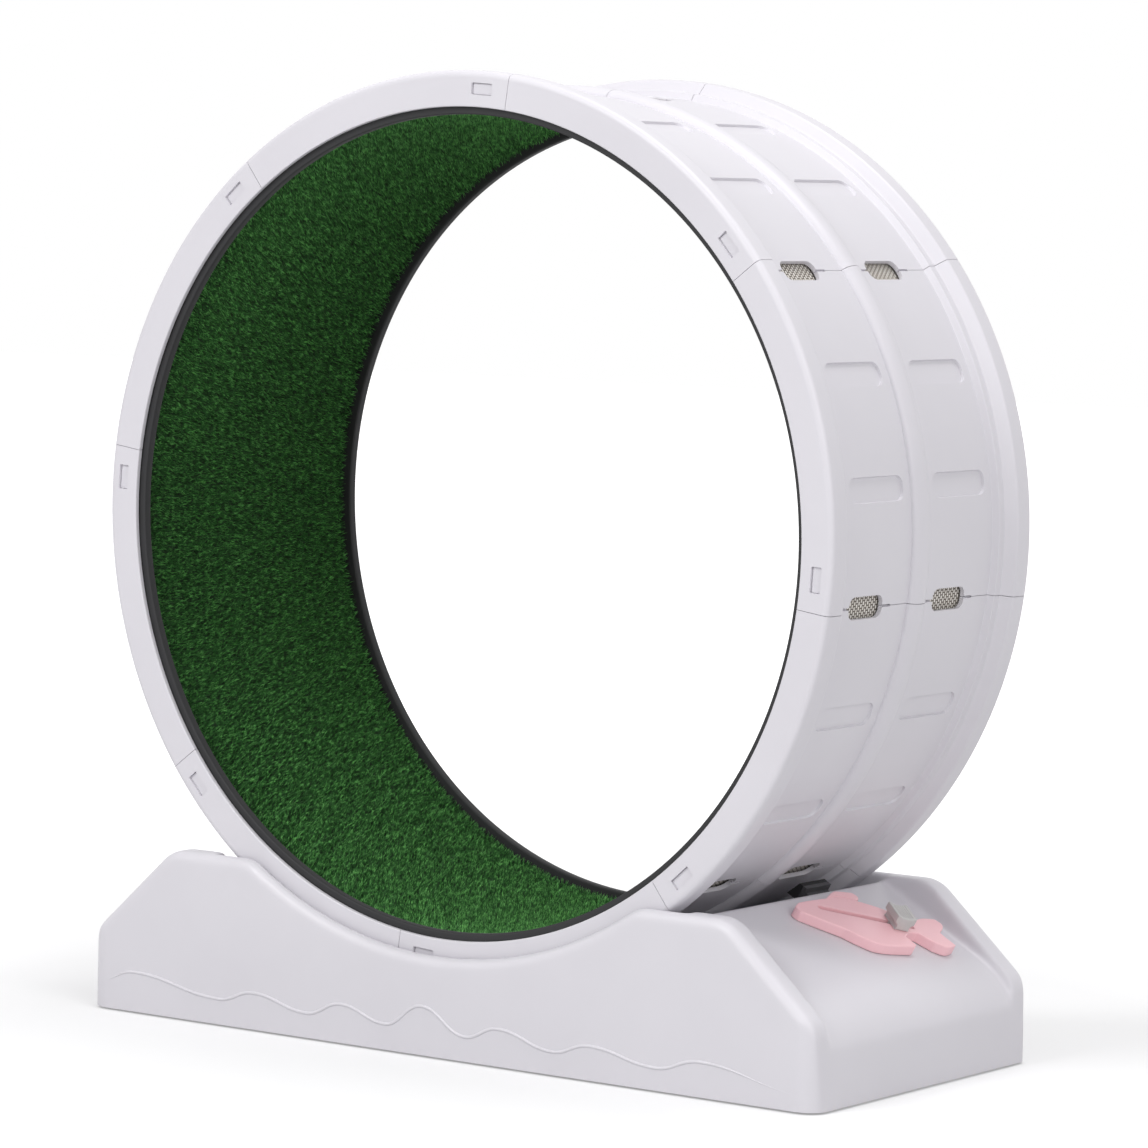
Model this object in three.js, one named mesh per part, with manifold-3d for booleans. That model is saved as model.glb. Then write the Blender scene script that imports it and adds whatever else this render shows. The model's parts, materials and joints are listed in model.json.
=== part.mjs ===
// A cat exercise wheel: a ring of eight moulded segments, lined with artificial turf, that runs on
// four rollers in a low moulded base, with a fish-shaped wheel lock on the base's right-hand deck.
// Millimetres. +Z is up, the wheel's axis lies along Y, the front is -Y, and the origin is on the
// floor under the middle of the wheel.
import * as THREE from "three";
import { mergeVertices } from "three/addons/utils/BufferGeometryUtils.js";
import Module from "manifold-3d";

// ---- Driving dimensions ----

// Clearances
const seatGap = 0.3; // between pieces that touch
const overcut = 1; // how far a cutter runs past what it cuts
const runGap = 1; // at the sides of what turns
const sideGap = 2.5; // between the wheel's faces and the base's walls

// Wheel ring. Its section is given by radius and by distance from the middle of the tread.
const wheelRadius = 400;
const wheelWidth = 323;
const segmentCount = 8;
const seamAngle = 37.3; // degrees from +X towards +Z
const arcSteps = 6; // flats in each segment
const mouldedWall = 4;
const channelDepth = 16; // below the rims
const bandRise = 6; // above the channels
const bandStep = 3;
const bandWidth = 8;
const rimSlope = 8;
const rimWidth = 22.5; // from the slope to the face
const rimRound = 6.5;
const ribHalfWidth = 13;
const ribHeight = 7;
const faceDepth = 32; // from the rim down to the face's inner edge
const flangeWall = 5;
const lipRound = 1;

// Latches that join the segments, one on each face at each seam
const latchOffset = 28; // along the rim from the seam to the latch's middle
const latchLength = 22;
const latchHeight = 10;
const latchDepth = 16; // of the latch's middle, in from the rim
const latchRecess = 1.2; // of its face behind the wheel's face
const tongueLength = 42;
const tongueRoot = 20;
const tongueDepth = 9; // in from the rim
const tongueHeight = 9;

// Holes at the seams, and catch pockets, in each of the two channels
const holeLength = 52;
const holeHeight = 20;
const holeCorner = 8;
const holeShift = -12; // from the middle of the channel towards the front
const pocketsPerChannel = 2;
const pocketMargin = 10; // from a pocket's ends to its channel's edges
const pocketHeight = 24;
const pocketCorner = 9;
const pocketDepth = 2.4;

// Turf lining and the black trims at its edges
const turfThickness = 13.7;
const trimWidth = 10;
const trimDepth = 12.5;
const trimInset = 3; // from the channels' inner face

// Base: its side view, from the middle outwards
const wellWallWidth = 12; // of the walls beside the wheel
const baseWall = 3;
const baseLift = 2; // the moulding's lower edge above the floor
const endLean = 5; // of the end walls, from the lower edge to the shoulder
const shoulderHeight = 75;
const shoulderRound = 30;
const plateauHeight = 157;
const plateauSetIn = 96; // of the plateau's end from the base's end
const plateauRound = 36;
const crestCover = 18; // of the rims by the walls' hollow
const crestRound = 16;
const crestArcSteps = 14;
const planCorner = 27;
const edgeBevel = 8;
const wellHeight = 61; // the well's floor above the ground
const wellClearance = 12; // between the rims and the well's floor
const sideWallWidth = 26; // of the walls beside a deck

// Decks: the flat slopes at the two ends
const deckDrop = 5; // of a deck's edge at the well, below the plateau
const deckAngle = 29; // degrees down from level
const deckFlatLength = 121;
const deckRoundLength = 41; // from the end of the flat to the end wall
const deckFadeHeight = 30; // where the curve after the flat has become the end wall

// Bottom pan, its posts and screws, and the feet
const panWall = 3;
const panHeight = 3; // its underside above the floor
const postRadius = 6;
const postSetIn = 95; // from the base's end
const postSide = 31; // from the base's side
const screwRadius = 2;
const screwLength = 14;
const screwHeadRadius = 4;
const screwHeadHeight = 1.8;
const footRadius = 14;
const footStemRadius = 5;
const footSetIn = 50; // from the base's end
const footSide = 52; // from the base's side

// Rollers
const rollerAngle = 24; // degrees each side of straight down
const rollerRadius = 26;
const rollerWidth = 16;
const rollerSetIn = 0.5; // from the rim's slope
const tyreThickness = 4;
const bearingRadius = 11;
const bearingWidth = 7;
const hubBore = 7;
const axleRadius = 4;
const axleHeadRadius = 7;
const axleHeadHeight = 3;
const axleTip = 3;
const earWall = 4;
const earRadius = 9;
const bracketFoot = 44;
const bracketFloor = 4;
const windowMargin = 3;

// Wheel lock, seen square on its deck: along the fish towards its head, and across it
const lockDown = 53.6; // the slot's middle, down the deck from its start
const lockAside = 46.1; // and from the middle of the base towards the back
const lockTurn = -118.4; // degrees from down the deck to the head's direction
const fishLength = 170;
const fishThickness = 10;
const fishBevel = 1;
const slotHalfLength = 52;
const slotHalfWidth = 3;
const knobRest = -32; // the knob's place along the slot when the wheel is free
const knobLength = 20;
const knobWidth = 24;
const knobHeight = 14;
const knobDip = 3;
const knobWaist = 4;
const knobRibs = 5;
const knobRibDepth = 0.8;
const stemLength = 14;
const carriageLength = 18;
const carriageWidth = 14;
const carriageThickness = 4;
const pinFlangeRadius = 4.5;
const pinFlangeHeight = 1.5;
const pinShankRadius = 1.5;
const pinShankLength = 12;
const pegRadius = 2.7;
const lockTravel = 72; // of the knob, towards the head
const knobOverrun = 8; // of the knob, towards the tail
const brakeTravel = 12;
const armThickness = 4.5;
const armNeckWidth = 34;
const armRearMargin = 6; // behind the peg's groove
const armHeadThickness = 4;
const padThickness = 8;
const padWidth = 40;
const padHeight = 15;
const trayMargin = 8; // beyond the arm, at each end
const trayWall = 2.5;
const trayFlange = 12;
const bossRadius = 4.5;
const trayScrewLength = 10;

// Colours, as drawn
const white = { color: 0xdedde2, roughness: 0.42, metalness: 0 };
const innerGrey = { color: 0xb9b8bd, roughness: 0.6, metalness: 0 };
const turfGreen = { color: 0x2c5f2f, roughness: 1, metalness: 0 };
const black = { color: 0x1d1d1f, roughness: 0.8, metalness: 0 };
const pink = { color: 0xf0a9b4, roughness: 0.4, metalness: 0 };
const silver = { color: 0xb4b2b0, roughness: 0.35, metalness: 0.2 };
const steel = { color: 0xa6a8ab, roughness: 0.3, metalness: 1 };

// ---- Sizes that follow from them ----

const degree = Math.PI / 180;
const roundSides = 12; // of turned pieces
const screwSides = 8;
const planSteps = 2; // in each rounded corner of the base's plan
const halfWidth = wheelWidth / 2;
const flangeInner = halfWidth - flangeWall;
const faceInnerRadius = wheelRadius - faceDepth;
const channelRadius = wheelRadius - channelDepth;
const channelInner = channelRadius - mouldedWall;
const bandRadius = channelRadius + bandRise;
const rimStart = halfWidth - rimWidth;
const bandEnd = rimStart - rimSlope;
const bandStart = bandEnd - bandWidth;
const channelEdge = bandStart - bandStep;
const pocketLength = channelEdge - ribHalfWidth - 2 * pocketMargin;
const latchRadius = wheelRadius - latchDepth;
const tongueTop = wheelRadius - tongueDepth;
const tongueBottom = tongueTop - tongueHeight;
const turfOuterRadius = channelInner - seatGap;
const turfInnerRadius = turfOuterRadius - turfThickness;
const trimInnerRadius = channelInner - trimInset - trimDepth;
const trimOuterY = flangeInner - seatGap;
const trimInnerY = trimOuterY - trimWidth;
const segmentAngle = 360 / segmentCount;
const channelMiddle = (ribHalfWidth + channelEdge) / 2;

const wellRadius = wheelRadius + wellClearance;
const wellHalfWidth = halfWidth + sideGap;
const axisHeight = wellHeight + wellRadius;
const baseWidth = 2 * (wellHalfWidth + wellWallWidth);
const deckStartHeight = plateauHeight - deckDrop;
const deckStart = Math.sqrt(wellRadius ** 2 - (axisHeight - deckStartHeight) ** 2);
const flatEnd = deckStart + deckFlatLength * Math.cos(deckAngle * degree);
const baseHalfLength = flatEnd + deckRoundLength;
const shoulderHalfLength = baseHalfLength - endLean;
const plateauEnd = baseHalfLength - plateauSetIn;
const crestRadius = wheelRadius - crestCover; // around the wheel's axis
const wallDraft = endLean / (shoulderHeight - baseLift);
const panTop = panHeight + panWall;

const rollerY = bandEnd - rollerSetIn - rollerWidth / 2;
const rollerDistance = bandRadius + seatGap + rollerRadius;
const hubRadius = rollerRadius - tyreThickness - seatGap;
const earInner = rollerWidth / 2 + runGap;
const earOuter = earInner + earWall;

const carriageTop = -baseWall - seatGap;
const carriageBottom = carriageTop - carriageThickness;
const flangeBottom = carriageBottom - seatGap - pinFlangeHeight;
const armTop = flangeBottom - seatGap;
const armBottom = armTop - armThickness;
const trayTop = armBottom - seatGap;
const trayBottom = trayTop - trayWall;

// The wheel's axis as the deck sees it, down the slope and square out of it.
const axisDown =
  -deckStart * Math.cos(deckAngle * degree) -
  (axisHeight - deckStartHeight) * Math.sin(deckAngle * degree);
const axisOut =
  -deckStart * Math.sin(deckAngle * degree) +
  (axisHeight - deckStartHeight) * Math.cos(deckAngle * degree);
const padBottom = (armTop + armBottom - padHeight) / 2;
const padRear =
  axisDown +
  Math.sqrt(channelRadius ** 2 - (axisOut - (armTop + armBottom) / 2) ** 2) +
  brakeTravel +
  padThickness;
const armFront = padRear + seatGap;

// Where the peg stands in the arm, seen from above the deck, when the knob is moved by a distance.
function pegInArm(move) {
  const along = knobRest + move;
  const turn = lockTurn * degree;
  const armMove = (move * brakeTravel) / lockTravel;
  const x = lockDown + along * Math.cos(turn) + armMove;
  return new THREE.Vector2(x, lockAside + along * Math.sin(turn));
}
const grooveStart = pegInArm(-knobOverrun);
const grooveEnd = pegInArm(lockTravel);
const armRear = grooveStart.x + pegRadius + armRearMargin;
const armShoulder = grooveEnd.x - pegRadius - armRearMargin;
const knobReach = Math.max(Math.abs(knobRest - knobOverrun), Math.abs(knobRest + lockTravel));
const lockSine = Math.abs(Math.sin(lockTurn * degree));
const lockCosine = Math.abs(Math.cos(lockTurn * degree));
const trayHalfInner =
  (knobReach + carriageLength / 2) * lockSine + (carriageWidth / 2) * lockCosine + runGap;
const trayFront = armShoulder - brakeTravel - trayMargin;
const trayRear = armRear + trayMargin;

// ---- Geometry helpers ----

const wasm = await Module();
wasm.setup();

// A closed geometry as a solid that can be cut and joined.
function solid(geometry) {
  const bare = geometry.index ? geometry.toNonIndexed() : geometry.clone();
  bare.deleteAttribute("normal");
  bare.deleteAttribute("uv");
  const merged = mergeVertices(bare, 1e-4);
  const vertProperties = merged.attributes.position.array;
  const triVerts = new Uint32Array(merged.index.array);
  return new wasm.Manifold(new wasm.Mesh({ numProp: 3, vertProperties, triVerts }));
}

function geometryOf(body) {
  const { vertProperties, triVerts } = body.getMesh();
  const geometry = new THREE.BufferGeometry();
  geometry.setAttribute("position", new THREE.BufferAttribute(vertProperties, 3));
  geometry.setIndex(new THREE.BufferAttribute(triVerts, 1));
  const faceted = geometry.toNonIndexed();
  faceted.computeVertexNormals();
  return faceted;
}

function join(bodies) {
  return bodies.reduce((all, body) => all.add(body));
}

function addPiece(group, name, geometry, look) {
  const piece = new THREE.Mesh(geometry, new THREE.MeshStandardMaterial(look));
  piece.name = name;
  group.add(piece);
  return piece;
}

function box(x0, x1, y0, y1, z0, z1) {
  const geometry = new THREE.BoxGeometry(x1 - x0, y1 - y0, z1 - z0);
  return geometry.translate((x0 + x1) / 2, (y0 + y1) / 2, (z0 + z1) / 2);
}

// A turned piece about Z, from [radius, z] points that close on themselves or end on the axis.
function turned(points, sides) {
  const profile = points.map(([radius, z]) => new THREE.Vector2(radius, z));
  return new THREE.LatheGeometry(profile, sides).rotateX(Math.PI / 2);
}

// A plate with the outline of a shape in XY, from z0 up to z1.
function plate(shape, z0, z1, curveSegments = 4) {
  const options = { depth: z1 - z0, bevelEnabled: false, curveSegments };
  return new THREE.ExtrudeGeometry(shape, options).translate(0, 0, z0);
}

function roundedRectangle(halfX, halfY, corner) {
  const shape = new THREE.Shape();
  shape.absarc(halfX - corner, halfY - corner, corner, 0, Math.PI / 2);
  shape.absarc(-halfX + corner, halfY - corner, corner, Math.PI / 2, Math.PI);
  shape.absarc(-halfX + corner, -halfY + corner, corner, Math.PI, 1.5 * Math.PI);
  shape.absarc(halfX - corner, -halfY + corner, corner, 1.5 * Math.PI, 2 * Math.PI);
  shape.closePath();
  return shape;
}

function obround(halfLength, halfRound) {
  const shape = new THREE.Shape();
  const reach = halfLength - halfRound;
  shape.absarc(reach, 0, halfRound, -Math.PI / 2, Math.PI / 2);
  shape.absarc(-reach, 0, halfRound, Math.PI / 2, 1.5 * Math.PI);
  shape.closePath();
  return shape;
}

// Sweeps a closed outline of [y, radius] points around the wheel's axis, between two angles in
// degrees, and closes both ends.
function sweptAroundAxis(outline, start, end, steps) {
  const flat = outline.map(([y, radius]) => new THREE.Vector2(y, radius));
  if (THREE.ShapeUtils.isClockWise(flat)) flat.reverse();
  const count = flat.length;
  const positions = [];
  for (let step = 0; step <= steps; step += 1) {
    const angle = (start + ((end - start) * step) / steps) * degree;
    for (const point of flat) {
      positions.push(point.y * Math.cos(angle), point.x, point.y * Math.sin(angle));
    }
  }
  const faces = [];
  for (let step = 0; step < steps; step += 1) {
    for (let i = 0; i < count; i += 1) {
      const next = (i + 1) % count;
      const near = step * count;
      const far = near + count;
      faces.push(near + i, far + i, far + next);
      faces.push(near + i, far + next, near + next);
    }
  }
  const last = steps * count;
  for (const [a, b, c] of THREE.ShapeUtils.triangulateShape(flat, [])) {
    faces.push(a, b, c);
    faces.push(last + a, last + c, last + b);
  }
  const geometry = new THREE.BufferGeometry();
  geometry.setAttribute("position", new THREE.Float32BufferAttribute(positions, 3));
  geometry.setIndex(faces);
  return geometry;
}

// Places a cutter made around the origin, with its depth along Z, so that its Z points outwards
// from the wheel's axis at an angle and its Y lies along the axis.
function facingOutwards(geometry, angle, radius, y) {
  geometry.rotateY(Math.PI / 2);
  geometry.translate(radius, y, 0);
  return geometry.rotateY(-angle * degree);
}

// ---- Wheel ring ----

// Half of the ring's section: over the rib, channel, band and rim, down the face, and back inside.
// The wall is thicker under the band, where the rollers run.
function halfSection() {
  const points = [];
  const ribSteps = 2;
  for (let i = 0; i <= ribSteps; i += 1) {
    const turn = (i / ribSteps) * (Math.PI / 2);
    points.push([ribHalfWidth * Math.sin(turn), channelRadius + ribHeight * Math.cos(turn)]);
  }
  points.push([channelEdge, channelRadius]);
  points.push([bandStart, bandRadius]);
  points.push([bandEnd, bandRadius]);
  points.push([rimStart, wheelRadius]);
  const rimSteps = 2;
  for (let i = 0; i <= rimSteps; i += 1) {
    const turn = (i / rimSteps) * (Math.PI / 2);
    const y = halfWidth - rimRound + rimRound * Math.sin(turn);
    points.push([y, wheelRadius - rimRound + rimRound * Math.cos(turn)]);
  }
  points.push([halfWidth, faceInnerRadius + lipRound]);
  points.push([halfWidth - lipRound, faceInnerRadius]);
  points.push([flangeInner, faceInnerRadius]);
  points.push([flangeInner, wheelRadius - rimRound]);
  points.push([halfWidth - rimRound, wheelRadius - mouldedWall]);
  points.push([rimStart + mouldedWall / 2, wheelRadius - mouldedWall]);
  points.push([channelEdge, channelInner]);
  return points;
}

function ringSection() {
  const half = halfSection();
  const mirrored = half.slice(1).map(([y, radius]) => [-y, radius]);
  return [...half, ...mirrored.reverse()];
}

function rectangle(y0, y1, r0, r1) {
  return [
    [y0, r0],
    [y1, r0],
    [y1, r1],
    [y0, r1],
  ];
}

const alongRim = 1 / (latchRadius * degree); // degrees for each millimetre at the latches

// The tongue at a segment's far end on one face, which reaches into the next segment's hollow rim
// and fills its window with a latch.
function tongue(side, seam) {
  const outer = flangeInner - seatGap;
  const inner = trimInnerY;
  const buried = flangeInner + flangeWall / 2;
  const rootStart = seam - tongueRoot * alongRim;
  const rootEnd = seam - seatGap * alongRim;
  const tip = seam + tongueLength * alongRim;
  const middle = seam + latchOffset * alongRim;
  const reach = (latchLength / 2) * alongRim;
  const sided = (y0, y1, r0, r1) => rectangle(side * y0, side * y1, r0, r1);
  const root = sided(inner, buried, tongueBottom, tongueTop);
  const blade = sided(inner, outer, tongueBottom, tongueTop);
  const low = latchRadius - latchHeight / 2;
  const catchOutline = sided(outer - mouldedWall, halfWidth - latchRecess, low, low + latchHeight);
  return join([
    solid(sweptAroundAxis(root, rootStart, rootEnd, 1)),
    solid(sweptAroundAxis(blade, rootStart, tip, 1)),
    solid(sweptAroundAxis(catchOutline, middle - reach, middle + reach, 1)),
  ]);
}

function latchWindow(side, seam) {
  const low = latchRadius - latchHeight / 2 - seatGap;
  const high = latchRadius + latchHeight / 2 + seatGap;
  const outline = rectangle(
    side * (flangeInner - overcut),
    side * (halfWidth + overcut),
    low,
    high,
  );
  const middle = seam + latchOffset * alongRim;
  const reach = (latchLength / 2 + seatGap) * alongRim;
  return solid(sweptAroundAxis(outline, middle - reach, middle + reach, 1));
}

function seamHole(angle, y) {
  const shape = roundedRectangle(holeHeight / 2, holeLength / 2, holeCorner);
  const depth = 2 * mouldedWall;
  return solid(facingOutwards(plate(shape, -depth, depth, 1), angle, channelRadius, y));
}

function catchPocket(angle, y) {
  const shape = roundedRectangle(pocketHeight / 2, pocketLength / 2, pocketCorner);
  const cutter = plate(shape, -pocketDepth, mouldedWall, 1);
  return solid(facingOutwards(cutter, angle, channelRadius, y));
}

function wheelSegment(index) {
  const start = seamAngle + index * segmentAngle;
  const end = start + segmentAngle;
  const trim = (seatGap / 2) * alongRim;
  const ring = solid(sweptAroundAxis(ringSection(), start + trim, end - trim, arcSteps));
  const cutters = [];
  for (const channel of [-channelMiddle, channelMiddle]) {
    cutters.push(seamHole(start, channel + holeShift));
    cutters.push(seamHole(end, channel + holeShift));
    for (let i = 1; i <= pocketsPerChannel; i += 1) {
      const angle = start + (segmentAngle * i) / (pocketsPerChannel + 1);
      cutters.push(catchPocket(angle, channel));
    }
  }
  for (const side of [-1, 1]) cutters.push(latchWindow(side, start));
  const cut = ring.subtract(join(cutters));
  return geometryOf(join([cut, tongue(-1, end), tongue(1, end)]));
}

// A full ring with the segments' flats, from a closed outline of [radius, y] points.
function liningRing(outline) {
  const closed = [...outline, outline[0]];
  const profile = closed.map(([radius, y]) => new THREE.Vector2(radius, y));
  const ring = new THREE.LatheGeometry(profile, segmentCount * arcSteps);
  return ring.rotateY((90 - seamAngle) * degree);
}

const wheel = new THREE.Group();
wheel.position.set(0, 0, axisHeight);

for (let i = 0; i < segmentCount; i += 1) {
  addPiece(wheel, `wheel_segment_${i + 1}`, wheelSegment(i), white);
}

const turfEdge = trimInnerY - seatGap;
const turfOutline = [
  [turfInnerRadius, -turfEdge],
  [turfOuterRadius, -turfEdge],
  [turfOuterRadius, turfEdge],
  [turfInnerRadius, turfEdge],
];
addPiece(wheel, "turf_mat", liningRing(turfOutline), turfGreen);

for (const [name, side] of [["edge_trim_front", -1], ["edge_trim_back", 1]]) {
  const near = Math.min(side * trimInnerY, side * trimOuterY);
  const outline = [
    [trimInnerRadius, near],
    [trimInnerRadius + trimDepth, near],
    [trimInnerRadius + trimDepth, near + trimWidth],
    [trimInnerRadius, near + trimWidth],
  ];
  addPiece(wheel, name, liningRing(outline), black);
}

// ---- Base ----

// A corner of an outline, rounded where two straight runs meet.
function roundCorner(shape, corner, next, radius) {
  const from = new THREE.Vector2().subVectors(shape.currentPoint, corner).normalize();
  const to = new THREE.Vector2().subVectors(next, corner).normalize();
  const halfTurn = Math.acos(THREE.MathUtils.clamp(from.dot(to), -1, 1)) / 2;
  const tangent = radius / Math.tan(halfTurn);
  const a = corner.clone().addScaledVector(from, tangent);
  const b = corner.clone().addScaledVector(to, tangent);
  shape.lineTo(a.x, a.y);
  shape.quadraticCurveTo(corner.x, corner.y, b.x, b.y);
}

// The walls' side view in XZ, drawn inwards by an inset. It runs on below the floor, where the
// base is cut off.
function sideView(inset) {
  const below = -2 * edgeBevel;
  const endX = baseHalfLength + wallDraft * (baseLift - below) - inset;
  const top = plateauHeight - inset;
  const slope = Math.atan2(plateauHeight - shoulderHeight, shoulderHalfLength - plateauEnd);
  const slopeShift = inset * Math.tan(slope / 2);
  const crest = crestRadius + inset;
  const drop = axisHeight - top;
  const crestX = Math.sqrt(crest ** 2 - drop ** 2);
  const arcStart = Math.atan2(drop, crestX) + crestRound / crest;
  const arcPoint = (turn) =>
    new THREE.Vector2(crest * Math.cos(turn), axisHeight - crest * Math.sin(turn));

  const foot = new THREE.Vector2(endX, below);
  const shoulder = new THREE.Vector2(shoulderHalfLength - inset, shoulderHeight - slopeShift);
  const plateau = new THREE.Vector2(plateauEnd - slopeShift, top);
  const mirror = (point) => new THREE.Vector2(-point.x, point.y);

  const shape = new THREE.Shape();
  shape.moveTo(-foot.x, foot.y);
  shape.lineTo(foot.x, foot.y);
  roundCorner(shape, shoulder, plateau, shoulderRound);
  roundCorner(shape, plateau, new THREE.Vector2(crestX, top), plateauRound);
  shape.lineTo(crestX + crestRound, top);
  const first = arcPoint(arcStart);
  shape.quadraticCurveTo(crestX, top, first.x, first.y);
  for (let i = 1; i <= crestArcSteps; i += 1) {
    const point = arcPoint(arcStart + ((Math.PI - 2 * arcStart) * i) / crestArcSteps);
    shape.lineTo(point.x, point.y);
  }
  shape.quadraticCurveTo(-crestX, top, -crestX - crestRound, top);
  roundCorner(shape, mirror(plateau), mirror(shoulder), plateauRound);
  roundCorner(shape, mirror(shoulder), mirror(foot), shoulderRound);
  shape.closePath();
  return shape;
}

// A side view in XZ as a solid across the base, its edges rounded over by a bevel.
function acrossBase(shape, halfDepth, bevel, bevelSegments) {
  const options = {
    depth: 2 * (halfDepth - bevel),
    bevelThickness: bevel,
    bevelSize: bevel,
    bevelOffset: -bevel,
    bevelSegments,
    curveSegments: 3,
  };
  const geometry = new THREE.ExtrudeGeometry(shape, options);
  return geometry.translate(0, 0, bevel - halfDepth).rotateX(Math.PI / 2);
}

// The base as a block: its side view, with the corners of its plan rounded.
function baseBlock(inset, lowerEdge, bevelSegments) {
  const halfDepth = baseWidth / 2 - inset;
  const bevel = edgeBevel - inset;
  const side = solid(acrossBase(sideView(inset), halfDepth, bevel, bevelSegments));
  const plan = roundedRectangle(baseHalfLength - inset, halfDepth, planCorner - inset);
  return side.intersect(solid(plate(plan, lowerEdge, plateauHeight + overcut, planSteps)));
}

// The wheel well around the wheel's axis, larger by a wall.
function well(wall) {
  const sides = 56;
  const depth = 2 * (wellHalfWidth + wall);
  const cylinder = new THREE.CylinderGeometry(wellRadius + wall, wellRadius + wall, depth, sides);
  return solid(cylinder.translate(0, 0, axisHeight));
}

// The space above one deck, between its side walls, larger by a wall.
function aboveDeck(end, wall) {
  const tilt = deckAngle * degree;
  const top = plateauHeight + overcut;
  const halfSpan = baseWidth / 2 - sideWallWidth + wall;
  const startX = deckStart - wall * Math.sin(tilt);
  const startZ = deckStartHeight - wall * Math.cos(tilt);
  const endX = baseHalfLength - wall;
  const flatX = endX - deckRoundLength;
  const flatZ = startZ - (flatX - startX) * Math.tan(tilt);
  const shape = new THREE.Shape();
  shape.moveTo(startX - (top - startZ) / Math.tan(tilt), top);
  shape.lineTo(flatX, flatZ);
  const bendZ = flatZ - (endX - flatX) * Math.tan(tilt);
  shape.quadraticCurveTo(endX, bendZ, endX, deckFadeHeight);
  shape.lineTo(endX + overcut, deckFadeHeight);
  shape.lineTo(endX + overcut, top);
  shape.closePath();
  const options = { depth: 2 * halfSpan, bevelEnabled: false, curveSegments: 5 };
  const prism = new THREE.ExtrudeGeometry(shape, options).translate(0, 0, -halfSpan);
  prism.rotateX(Math.PI / 2);
  if (end < 0) prism.rotateZ(Math.PI);
  return solid(prism);
}

// The deck's own frame: X down the slope, Y towards the back, Z square out of the deck.
const deck = new THREE.Group();
deck.position.set(deckStart, 0, deckStartHeight);
deck.rotation.y = deckAngle * degree;

// The lock's frame on the deck: X along the fish towards its head, Y across it.
const lock = new THREE.Group();
lock.position.set(lockDown, lockAside, 0);
lock.rotation.z = lockTurn * degree;
deck.add(lock);
deck.updateMatrixWorld(true);

function placedBy(group, geometry) {
  return geometry.applyMatrix4(group.matrixWorld);
}

// A round post about Z, or the cutter for a round hole.
function upright(radius, x, y, z0, z1, sides = screwSides) {
  const cylinder = new THREE.CylinderGeometry(radius, radius, z1 - z0, sides);
  return cylinder.rotateX(Math.PI / 2).translate(x, y, (z0 + z1) / 2);
}

// The radius of a many-sided bore whose flats clear a round piece.
const boreRadius = (radius, sides = screwSides) => (radius + seatGap) / Math.cos(Math.PI / sides);

const rollerPlaces = [];
for (const [side, across] of [["left", -1], ["right", 1]]) {
  for (const [face, depth] of [["front", -1], ["back", 1]]) {
    const x = across * rollerDistance * Math.sin(rollerAngle * degree);
    const z = axisHeight - rollerDistance * Math.cos(rollerAngle * degree);
    rollerPlaces.push({ name: `${face}_${side}`, x, y: depth * rollerY, z, depth });
  }
}

const postPlaces = [];
const footPlaces = [];
for (const across of [-1, 0, 1]) {
  for (const depth of [-1, 1]) {
    const postX = across * (baseHalfLength - postSetIn);
    const footX = across * (baseHalfLength - footSetIn);
    postPlaces.push([postX, depth * (baseWidth / 2 - postSide)]);
    footPlaces.push([footX, depth * (baseWidth / 2 - footSide)]);
  }
}

// The window in the well's floor that a roller and its bracket stand in.
function rollerWindow({ x, y, z }) {
  const halfX = rollerRadius + windowMargin;
  const halfY = earOuter + axleHeadHeight + windowMargin;
  return solid(box(x - halfX, x + halfX, y - halfY, y + halfY, z - halfX, z + halfX));
}

// The four corners of the tray where it is screwed to the deck's bosses.
const trayCorners = [];
for (const x of [trayFront + trayFlange / 2, trayRear - trayFlange / 2]) {
  for (const side of [-1, 1]) {
    trayCorners.push([x, lockAside + side * (trayHalfInner + trayWall + trayFlange / 2)]);
  }
}

function baseShell() {
  const block = baseBlock(0, baseLift, 2);
  const skin = block.subtract(join([well(0), aboveDeck(1, 0), aboveDeck(-1, 0)]));
  const hollow = baseBlock(baseWall, baseLift - overcut, 1);
  const walls = join([well(baseWall), aboveDeck(1, baseWall), aboveDeck(-1, baseWall)]);
  const posts = postPlaces.map(([x, y]) =>
    solid(upright(postRadius, x, y, panTop + seatGap, plateauHeight)),
  );
  const bosses = trayCorners.map(([x, y]) =>
    solid(placedBy(deck, upright(bossRadius, x, y, trayTop + seatGap, 0))),
  );
  const cavity = hollow.subtract(join([walls, ...posts, ...bosses]));

  const slot = plate(obround(slotHalfLength, slotHalfWidth), -baseWall - overcut, overcut);
  const halfNeck = armNeckWidth / 2 + runGap;
  const armWindow = box(
    padRear,
    armShoulder,
    channelMiddle - halfNeck,
    channelMiddle + halfNeck,
    armBottom - runGap,
    armTop + runGap,
  );
  const screwHoles = postPlaces.map(([x, y]) =>
    solid(upright(boreRadius(screwRadius), x, y, baseLift, panHeight + screwLength)),
  );
  const screwTop = trayBottom + trayScrewLength;
  const bossHoles = trayCorners.map(([x, y]) =>
    solid(placedBy(deck, upright(boreRadius(screwRadius), x, y, trayBottom, screwTop))),
  );
  const cuts = [
    cavity,
    solid(placedBy(lock, slot)),
    solid(placedBy(deck, armWindow)),
    ...rollerPlaces.map(rollerWindow),
    ...screwHoles,
    ...bossHoles,
  ];
  return geometryOf(skin.subtract(join(cuts)));
}

function basePan() {
  const inset = baseWall + seatGap;
  const halfLength = baseHalfLength - inset - wallDraft * (panTop - baseLift);
  const outline = roundedRectangle(halfLength, baseWidth / 2 - inset, planCorner - baseWall);
  const holes = [
    ...postPlaces.map(([x, y]) => upright(boreRadius(screwRadius), x, y, 0, 2 * panTop)),
    ...footPlaces.map(([x, y]) => upright(boreRadius(footStemRadius), x, y, 0, 2 * panTop)),
  ];
  const slab = solid(plate(outline, panHeight, panTop, planSteps));
  return geometryOf(slab.subtract(join(holes.map(solid))));
}

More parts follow.
